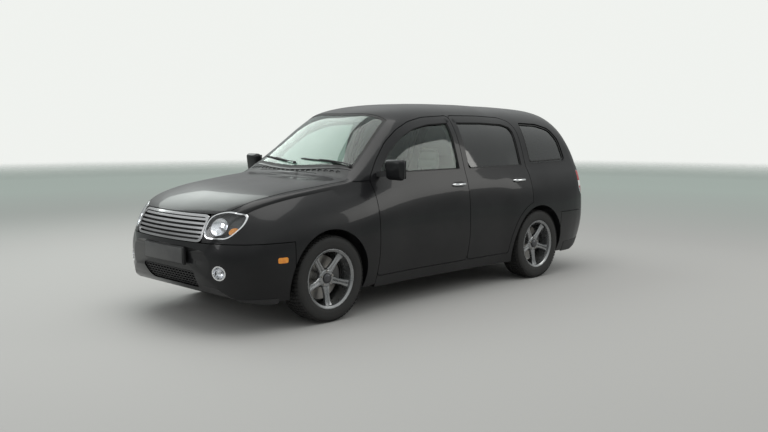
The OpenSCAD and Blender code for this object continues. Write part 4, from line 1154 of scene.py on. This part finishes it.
for side, label in SIDES:
    body = f"front_door_{label}"
    ys = sorted((side * 834, side * 1021))
    shape = block((702, ys[0], 1039), (774, ys[1], 1201), 34, 6)
    for v in shape.data.vertices:
        v.co.x += 0.010 * ((v.co.z - 1.12) / 0.08) * (1 if v.co.x > 0.738 else 0)
        v.co.x -= 0.016 * max(0, abs(v.co.y) - 0.93) / 0.09 * (1 if v.co.x > 0.738 else 0)
    foot = lofted([[Vector((x, side * y, z)) * MM for x, z in
                    ((x0, z0), (x1, z0), (x1, z1), (x0, z1))]
                   for y, x0, x1, z0, z1 in ((740, 716, 760, 1060, 1100), (800, 720, 762, 1062, 1106),
                                             (850, 726, 766, 1070, 1112), (880, 726, 764, 1076, 1112))])
    cut(foot, shell(-0.6))
    ys = sorted((side * 852, side * 1004))
    pane = block((698.5, ys[0], 1056), (703.5, ys[1], 1184), 2.4, 2)
    rim = cut(block((699, ys[0] - 5, 1051), (706, ys[1] + 5, 1189), 3, 2),
              block((690, ys[0] + 1, 1057), (720, ys[1] - 1, 1183), 2, 1))
    fit(shape, f"mirror_{label}_housing", body, PAINT, "paint", f"mirror_{label}")
    fit(smooth(foot), f"mirror_{label}_foot", body, PLASTIC, "black_plastic", f"mirror_{label}")
    fit(pane, f"mirror_{label}_glass", body, REFLECTOR, "chrome", f"mirror_{label}")
    fit(smooth(rim), f"mirror_{label}_rim", body, PLASTIC, "black_plastic", f"mirror_{label}")
print("mirrors: 2")

# %% [markdown]
# A handle is a bar swept along points that stand off the skin. A dark cup under it leaves room
# for the fingers.
# %% Door handles and their cups
HANDLE_Z = 955
for side, label in SIDES:
    for row_name, x in (("front", -175), ("rear", -1010)):
        body = f"{row_name}_door_{label}"
        reach = ((-82, -2), (-74, 14), (-58, 24), (0, 28), (58, 24), (74, 14), (82, -2))
        line = []
        for dx, out in reach:
            spot, normal = on_skin((x + dx, side * HUGE, HANDLE_Z), (0, -side, 0))
            line.append(spot / MM + Vector((0, side * out, 0)))
        handle = swept(line, 6, 9)
        fit(handle, f"{body}_handle", body, CHROME, "chrome")
        low, high = HANDLE_Z - 23, HANDLE_Z + 23
        cup = only(shell(-1.2, 3), from_side(rounded([(x - 62, low), (x + 62, low), (x + 62, high),
                                                      (x - 62, high)], 20), side))
        fit(smooth(cup), f"{body}_handle_cup", body, PLASTIC, "black_plastic")
print("door handles: 4")


# %% [markdown]
# The wipers lie along the lower edge of the windshield, each an arm over a blade. The number
# plates are blank.
# %% Wipers, plates and small trim
def on_glass(x, y, lift):
    spot, _ = on_skin((x, y, HUGE), (0, 0, -1))
    return spot / MM + Vector((0, 0, lift))


for k, (y_base, y_tip) in enumerate(((560, 60), (-20, -500))):
    for name, start, end, lift, wide, thick in (
            ("blade", (0.12, 0), (1.0, 0), 3, 4, 7), ("arm", (-0.1, 0), (0.55, 0), 13, 7, 4)):
        line = []
        for i in range(12):
            u = start[0] + (end[0] - start[0]) * i / 11
            y = y_base + (y_tip - y_base) * u
            x = 1046 - 105 * (y / 640) ** 2 - 34 - 40 * max(0.0, u)
            line.append(on_glass(x, y, lift))
        fit(swept(line, wide, thick), f"wiper_{name}_{k}", "root", PLASTIC, "black_plastic")
    pivot = on_glass(1046 - 105 * ((y_base + 50) / 640) ** 2 - 30, y_base + 50, 6)
    fit(spun([(-8, 0.2), (-8, 15), (6, 14), (12, 9), (12, 0.2)], pivot * MM, (0, 0, 1), 24),
        f"wiper_pivot_{k}", "root", PLASTIC, "black_plastic")
plate_x = max(on_skin((HUGE, 0, z), (-1, 0, 0))[0].x / MM for z in (470, 500, 530, 560, 600))
fit(block((plate_x, -260, 480), (plate_x + 7, 260, 592), 3, 2), "front_plate", "root", PLATE,
    None)
fit(block((plate_x - 24, -270, 470), (plate_x + 1, 270, 602), 3, 2), "front_plate_holder", "root",
    PLASTIC, "black_plastic")
rear_x = on_skin((-4000, 0, 700), (1, 0, 0))[0].x / MM
fit(block((rear_x - 7, -260, 660), (rear_x + 2, 260, 772), 3, 2), "rear_plate", "tailgate", PLATE,
    None)
line = [on_skin((-4000, y, 1040), (1, 0, 0))[0] / MM + Vector((-lift, 0, 0))
        for y, lift in ((-30, 2), (0, 9), (90, 12), (200, 13), (320, 12), (340, 9))]
fit(swept(line, 4, 8), "rear_wiper", "tailgate", PLASTIC, "black_plastic")
pull = [on_skin((-4000, y, 830), (1, 0, 0))[0] / MM + Vector((-lift, 0, 0))
        for y, lift in ((-120, 0), (-100, 9), (0, 12), (100, 9), (120, 0))]
fit(swept(pull, 5, 10), "tailgate_handle", "tailgate", CHROME, "chrome")
brake_lamp = only(shell(-1, 6), from_behind(rounded([(-150, 1528), (150, 1528), (150, 1546),
                                                     (-150, 1546)], 7), -1.9))
fit(smooth(brake_lamp), "high_brake_lamp", "tailgate", RED, "red_lens")


# %% [markdown]
# The cabin is seen through the clear glass, so it has a dash with four vents and a hood over the
# dials. The dash is one profile drawn from the side and extruded across the car, and the doors
# hide its ends.
# %% Dash
DASH_HALF, DRIVER_Y = 615, 370
profile = rounded([(998, 705), (998, 996), (905, 1022), (735, 1006), (655, 945), (672, 880),
                   (700, 800), (770, 705)], 45, 8)
dash = cutter(profile, "side", -DASH_HALF * MM, DASH_HALF * MM)
use(dash, "BEVEL", width=0.006, segments=2, limit_method="ANGLE", angle_limit=math.radians(60))
for y in (-478.5, -43.5, 43.5, 478.5):
    cut(dash, block((640, y - 48, 885), (690, y + 48, 925), 12, 3))
fit(smooth(dash), "dash", "root", CABIN, "cabin_plastic", "dashboard")
hood_over_dials = cutter(rounded([(870, 1000), (640, 962), (628, 1010), (655, 1052), (760, 1050)],
                                 25, 6), "side", (DRIVER_Y - 165) * MM, (DRIVER_Y + 165) * MM)
use(hood_over_dials, "BEVEL", width=0.02, segments=4, limit_method="ANGLE",
    angle_limit=math.radians(60))
fit(smooth(hood_over_dials), "dial_hood", "root", CABIN, "cabin_plastic", "dashboard")
print("dash:", len(dash.data.polygons), "faces")

# %% [markdown]
# The steering wheel is a ring of round sections about the column's axis, with three arms and a
# boss. It doesn't turn, so it rides on the body.
# %% Steering wheel
WHEEL_X, WHEEL_Z, WHEEL_R, TUBE_R = 470, 960, 180, 14.5
RING_STEPS, TUBE_STEPS = 48, 12
column_axis = Vector((-math.sin(math.radians(65)), 0, math.cos(math.radians(65))))
wheel_spot = Vector((WHEEL_X, DRIVER_Y, WHEEL_Z)) * MM
across = Vector((0, 1, 0))
up_wheel = column_axis.cross(across)
rim_ring = []
for k in range(RING_STEPS):
    a = 2 * math.pi * k / RING_STEPS
    middle = wheel_spot + (across * math.cos(a) + up_wheel * math.sin(a)) * WHEEL_R * MM
    out = (middle - wheel_spot).normalized()
    rim_ring.append([middle + (out * math.cos(b) + column_axis * math.sin(b)) * TUBE_R * MM
                     for b in (2 * math.pi * j / TUBE_STEPS for j in range(TUBE_STEPS))])
verts = [v for ring in rim_ring for v in ring]
faces = []
for i in range(RING_STEPS):
    here, after = i * TUBE_STEPS, (i + 1) % RING_STEPS * TUBE_STEPS
    faces += [(here + j, here + (j + 1) % TUBE_STEPS, after + (j + 1) % TUBE_STEPS, after + j)
              for j in range(TUBE_STEPS)]
wheel_rim = smooth(recalculated(mesh_piece("steering_rim", verts, faces)), 60)
arms = []
for angle in (90, 205, 335):
    a = math.radians(angle)
    out = across * math.cos(a) + up_wheel * -math.sin(a)
    arms.append(swept([(wheel_spot + out * r) / MM for r in (0.03, 0.07, 0.12, 0.178)],
                      20, 6, up=column_axis))
boss = spun([(-40, 0.2), (-40, 38), (-6, 58), (8, 56), (16, 40), (20, 0.2)], wheel_spot,
            column_axis, 40)
column = spun([(-240, 0.2), (-240, 34), (-60, 34), (-30, 26), (-30, 0.2)], wheel_spot,
              column_axis, 32)
steering = join([wheel_rim] + arms + [smooth(boss, 40), smooth(column, 40)], "steering_wheel")
fit(steering, "steering_wheel", "root", CABIN, "cabin_plastic", "dashboard")
print("steering wheel:", len(steering.data.polygons), "faces")

# %% [markdown]
# Between the seats stand a console and a gear lever, and each door has an armrest.
# %% Console, lever and door armrests
console = block((60, -105, 252), (700, 105, 560), 30, 4)
fit(console, "console", "root", CABIN, "cabin_plastic")
lever = swept([(420, 0, 540), (410, 0, 620), (395, 0, 700)], 9, 9, up=(1, 0, 0))
knob = spun([(-28, 0.2), (-28, 16), (-8, 24), (12, 23), (24, 12), (27, 0.2)],
            Vector((0.392, 0, 0.722)), (0, 0, 1), 32)
fit(join([lever, smooth(knob, 50)], "gear_lever"), "gear_lever", "root", CABIN, "cabin_plastic")
for side, label in SIDES:
    for row_name, x0, x1 in (("front", -120, 420), ("rear", -820, -420)):
        body = f"{row_name}_door_{label}"
        ys = sorted((side * 690, side * 770))
        arm = block((x0, ys[0], 700), (x1, ys[1], 752), 20, 4)
        fit(arm, f"{body}_armrest", body, CABIN, "cabin_plastic")
print("cabin fittings ready")


# %% [markdown]
# Seats are padded cloth. Each cushion starts a little smaller than it ends: the cloth
# simulation blows it up gently, a limit on each point's move keeps it inside its place, and the
# sewn channels are pressed in afterwards, because the simulation would smooth them away.
# %% Padding by simulation
def puffed(piece, voxel=0.016, pressure=4.0, limit=0.014):
    """Inflates a closed piece like a cushion, and keeps each point near where it began."""
    use(piece, "REMESH", mode="VOXEL", voxel_size=voxel)
    use(piece, "SMOOTH", factor=0.5, iterations=4)
    start = np.array([v.co for v in piece.data.vertices])
    pick(piece)
    cloth = piece.modifiers.new("Cloth", "CLOTH")
    cloth.settings.use_pressure = True
    cloth.settings.uniform_pressure_force = pressure
    cloth.settings.effector_weights.gravity = 0
    cloth.settings.quality = 4
    for frame_number in range(1, 16):
        bpy.context.scene.frame_set(frame_number)
    bpy.ops.object.modifier_apply(modifier=cloth.name)
    bpy.context.scene.frame_set(1)
    end = np.array([v.co for v in piece.data.vertices])
    move = end - start
    length = np.linalg.norm(move, axis=1, keepdims=True)
    end = start + move * np.minimum(1, limit / np.maximum(length, 1e-9))
    for v, spot in zip(piece.data.vertices, end):
        v.co = spot
    use(piece, "SUBSURF", levels=1, render_levels=1)
    return piece


def channelled(piece, seams, depth=0.010, width=0.011):
    """Presses sewn channels in. A seam gives a point's distance from it in metres."""
    piece.data.update()
    moves = [(v.co.copy(), v.normal.copy()) for v in piece.data.vertices]
    for v, (spot, normal) in zip(piece.data.vertices, moves):
        press = sum(math.exp(-(seam(spot) / width) ** 2) for seam in seams)
        v.co = spot - normal * depth * min(1.0, press)
    return smooth(piece, 60)


# %% [markdown]
# Each seat row is a cushion, a back that leans 14 degrees and head rests on steel stems. The
# front pair are copies of one seat; the rear seat is a wide bench.
# %% Seats
def pad(low, high, lean=0, pivot=None, round_mm=45):
    """A rounded pad between two corners, leant back about the car's width by some degrees."""
    piece = block(low, high, round_mm, 5, "pad")
    if lean:
        turn = Matrix.Rotation(math.radians(-lean), 4, "Y")
        spot = Vector(pivot) * MM
        piece.data.transform(Matrix.Translation(spot) @ turn @ Matrix.Translation(-spot))
    return piece


def seat_pads(half, back_half, seams_y, place_x):
    """Cushion and back for one seat row, around y = 0."""
    cushion = puffed(pad((place_x - 30, -half + 14, 372), (place_x + 428, half - 14, 466)))
    channelled(cushion, [lambda p, y=y: abs(p.y) - y for y in seams_y]
               + [lambda p, x=x: p.x - x if p.z > 0.43 else 9
                  for x in ((place_x + 110) * MM, (place_x + 210) * MM, (place_x + 310) * MM)])
    pivot = (place_x - 30, 0, 430)
    back = puffed(pad((place_x - 106, -back_half + 14, 452), (place_x - 14, back_half - 14, 1036),
                      14, pivot))
    channelled(back, [lambda p, y=y: abs(p.y) - y for y in seams_y]
               + [lambda p, z=z: p.z - z for z in (0.60, 0.72, 0.84)])
    return cushion, back


def head_pad(place_x, y):
    piece = puffed(pad((place_x - 262, y - 112, 1072), (place_x - 200, y + 112, 1222), 10,
                       (place_x - 230, 0, 1020), 28), 0.012)
    channelled(piece, [lambda p: p.z - 1.15], 0.005)
    stems = [swept([(place_x - 215, y + dy, 985), (place_x - 226, y + dy, 1040),
                    (place_x - 236, y + dy, 1110)], 5, 5, up=(1, 0, 0)) for dy in (-45, 45)]
    return piece, join(stems, "stems")


front_cushion, front_back = seat_pads(250, 240, (0.165,), 0)
front_head, front_stems = head_pad(0, 0)
for side, label in SIDES:
    for piece, name in ((front_cushion, "cushion"), (front_back, "back"),
                        (front_head, "head"), (front_stems, "stems")):
        copy = twin(piece, f"front_seat_{name}_{label}")
        copy.data.transform(Matrix.Translation((0, side * DRIVER_Y * MM, 0)))
        soft = name != "stems"
        fit(copy, copy.name, "root", CLOTH if soft else STEEL,
            "seat_fabric" if soft else None, "front_seats")
remove(front_cushion, front_back, front_head, front_stems)
REAR_SEAT_X = -760
rear_cushion, rear_back = seat_pads(560, 560, (0.19, 0.5), REAR_SEAT_X)
for piece, name in ((rear_cushion, "cushion"), (rear_back, "back")):
    fit(piece, f"rear_seat_{name}", "root", CLOTH, "seat_fabric", "rear_seat")
for k, y in enumerate((-330, 330)):
    head, stems = head_pad(REAR_SEAT_X, y)
    fit(head, f"rear_seat_head_{k}", "root", CLOTH, "seat_fabric", "rear_seat")
    fit(stems, f"rear_seat_stems_{k}", "root", STEEL, None, "rear_seat")
for side, label in SIDES:
    base = block((10, side * DRIVER_Y - 185, 252), (370, side * DRIVER_Y + 185, 365), 14, 3)
    fit(base, f"front_seat_base_{label}", "root", CABIN, "cabin_plastic", "front_seats")
base = block((REAR_SEAT_X + 10, -500, 252), (REAR_SEAT_X + 370, 500, 365), 14, 3)
fit(base, "rear_seat_base", "root", CABIN, "cabin_plastic", "rear_seat")


# %% [markdown]
# The machinery below keeps its CAD shapes and only gets finishes: pressed steel under black
# coating, cast alloy for the engine, darkened metal for the exhaust.
# %% Finishes of the kept CAD pieces
KEPT = {"floor_pan": UNDER, "engine_bay": UNDER, "engine_block": CAST, "arch_liners": PLASTIC,
        "exhaust": ALLOY_DARK, "fuel_tank": PLASTIC, "front_suspension": CAST, "rear_axle": UNDER,
        "knuckle_left": CAST, "knuckle_right": CAST}
for name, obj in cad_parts.items():
    if not obj.hide_render:
        coat(obj, KEPT.get(name, UNDER))
print("kept as CAD:", sorted(n for n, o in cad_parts.items() if not o.hide_render))

# %% [markdown]
# The car stands on a pale floor that turns a little greener further off and fades out into the
# white beyond. The camera sees a plain white world, and a softer grey one lights the car, so
# the black paint stays dark.
# %% Floor and its finish
floor = slab((-60, -60, -0.05), (60, 60, 0))
floor.name = "floor"
paper = bpy.data.materials.new("floor_paper")
paper.use_nodes = True
tree, shader = paper.node_tree, paper.node_tree.nodes["Principled BSDF"]
coords = tree.nodes.new("ShaderNodeTexCoord").outputs["Object"]
far = tree.nodes.new("ShaderNodeVectorMath")
far.operation = "LENGTH"
tree.links.new(coords, far.inputs[0])
drift = ranged(tree, far.outputs["Value"], 5.0, 13.0)
tones = tree.nodes.new("ShaderNodeMix")
tones.data_type = "RGBA"
tones.inputs["A"].default_value = (0.41, 0.405, 0.395, 1)
tones.inputs["B"].default_value = (0.48, 0.54, 0.5, 1)
tree.links.new(drift, tones.inputs["Factor"])
tree.links.new(tones.outputs["Result"], shader.inputs["Base Color"])
tree.links.new(ranged(tree, far.outputs["Value"], 17.0, 28.0, 1.0, 0.0), shader.inputs["Alpha"])
shader.inputs["Roughness"].default_value = 0.75
shader.inputs["Specular IOR Level"].default_value = 0.2
coat(floor, paper)

# %% [markdown]
# The world is dim near the horizon and brighter overhead, so that only faces that lean back
# catch the light. The lamps add a soft top light and the reflections in the glass and the side.
# %% World, lamps and camera
scene = bpy.context.scene
scene.view_settings.view_transform = "Standard"
world = bpy.data.worlds.new("studio")
scene.world = world
world.use_nodes = True
tree = world.node_tree
plain = tree.nodes["Background"]
plain.inputs["Color"].default_value = (0.93, 0.96, 0.95, 1)
height = tree.nodes.new("ShaderNodeSeparateXYZ")
tree.links.new(tree.nodes.new("ShaderNodeTexCoord").outputs["Generated"], height.inputs[0])
tree.links.new(ranged(tree, height.outputs["Z"], 0.08, 0.55, 0.34, 0.8), plain.inputs["Strength"])
seen = tree.nodes.new("ShaderNodeBackground")
seen.inputs["Color"].default_value = (0.87, 0.89, 0.86, 1)
path = tree.nodes.new("ShaderNodeLightPath")
which = tree.nodes.new("ShaderNodeMixShader")
tree.links.new(path.outputs["Is Camera Ray"], which.inputs["Fac"])
tree.links.new(plain.outputs["Background"], which.inputs[1])
tree.links.new(seen.outputs["Background"], which.inputs[2])
tree.links.new(which.outputs["Shader"], tree.nodes["World Output"].inputs["Surface"])


def lamp(name, spot, aim, size, watts, tone=(1, 1, 1)):
    """A soft square lamp that points from spot to aim."""
    data = bpy.data.lights.new(name, "AREA")
    data.shape, data.size, data.energy, data.color = "SQUARE", size, watts, tone
    obj = bpy.data.objects.new(name, data)
    bpy.context.collection.objects.link(obj)
    obj.location = spot
    obj.rotation_euler = (Vector(aim) - Vector(spot)).to_track_quat("-Z", "Y").to_euler()
    return obj


lamp("above", (0.5, 0.5, 6.5), (0, 0, 0), 5.0, 170, (1, 0.99, 0.97))
lamp("ahead", (7.5, -1.5, 3.2), (1.5, 0, 0.6), 2.5, 60)
lamp("side", (-4.4, 5.2, 3.3), (-0.3, 0.8, 1.0), 2.6, 55, (1, 0.99, 0.95))
lamp("glare", (0.9, -4.6, 5.0), (0.8, 0, 1.3), 4.5, 150, (0.93, 1, 0.96))
camera_data = bpy.data.cameras.new("camera")
camera_data.sensor_width, camera_data.lens = 36, 39.4
camera = bpy.data.objects.new("camera", camera_data)
bpy.context.collection.objects.link(camera)
scene.camera = camera
heading, pitch = math.radians(-134.6), math.radians(-6.3)
look = Vector((math.cos(heading) * math.cos(pitch), math.sin(heading) * math.cos(pitch),
               math.sin(pitch)))
camera.location = (5.38, 5.51, 1.48)
camera.rotation_euler = look.to_track_quat("-Z", "Y").to_euler()
print("camera looks", [round(v, 3) for v in look])
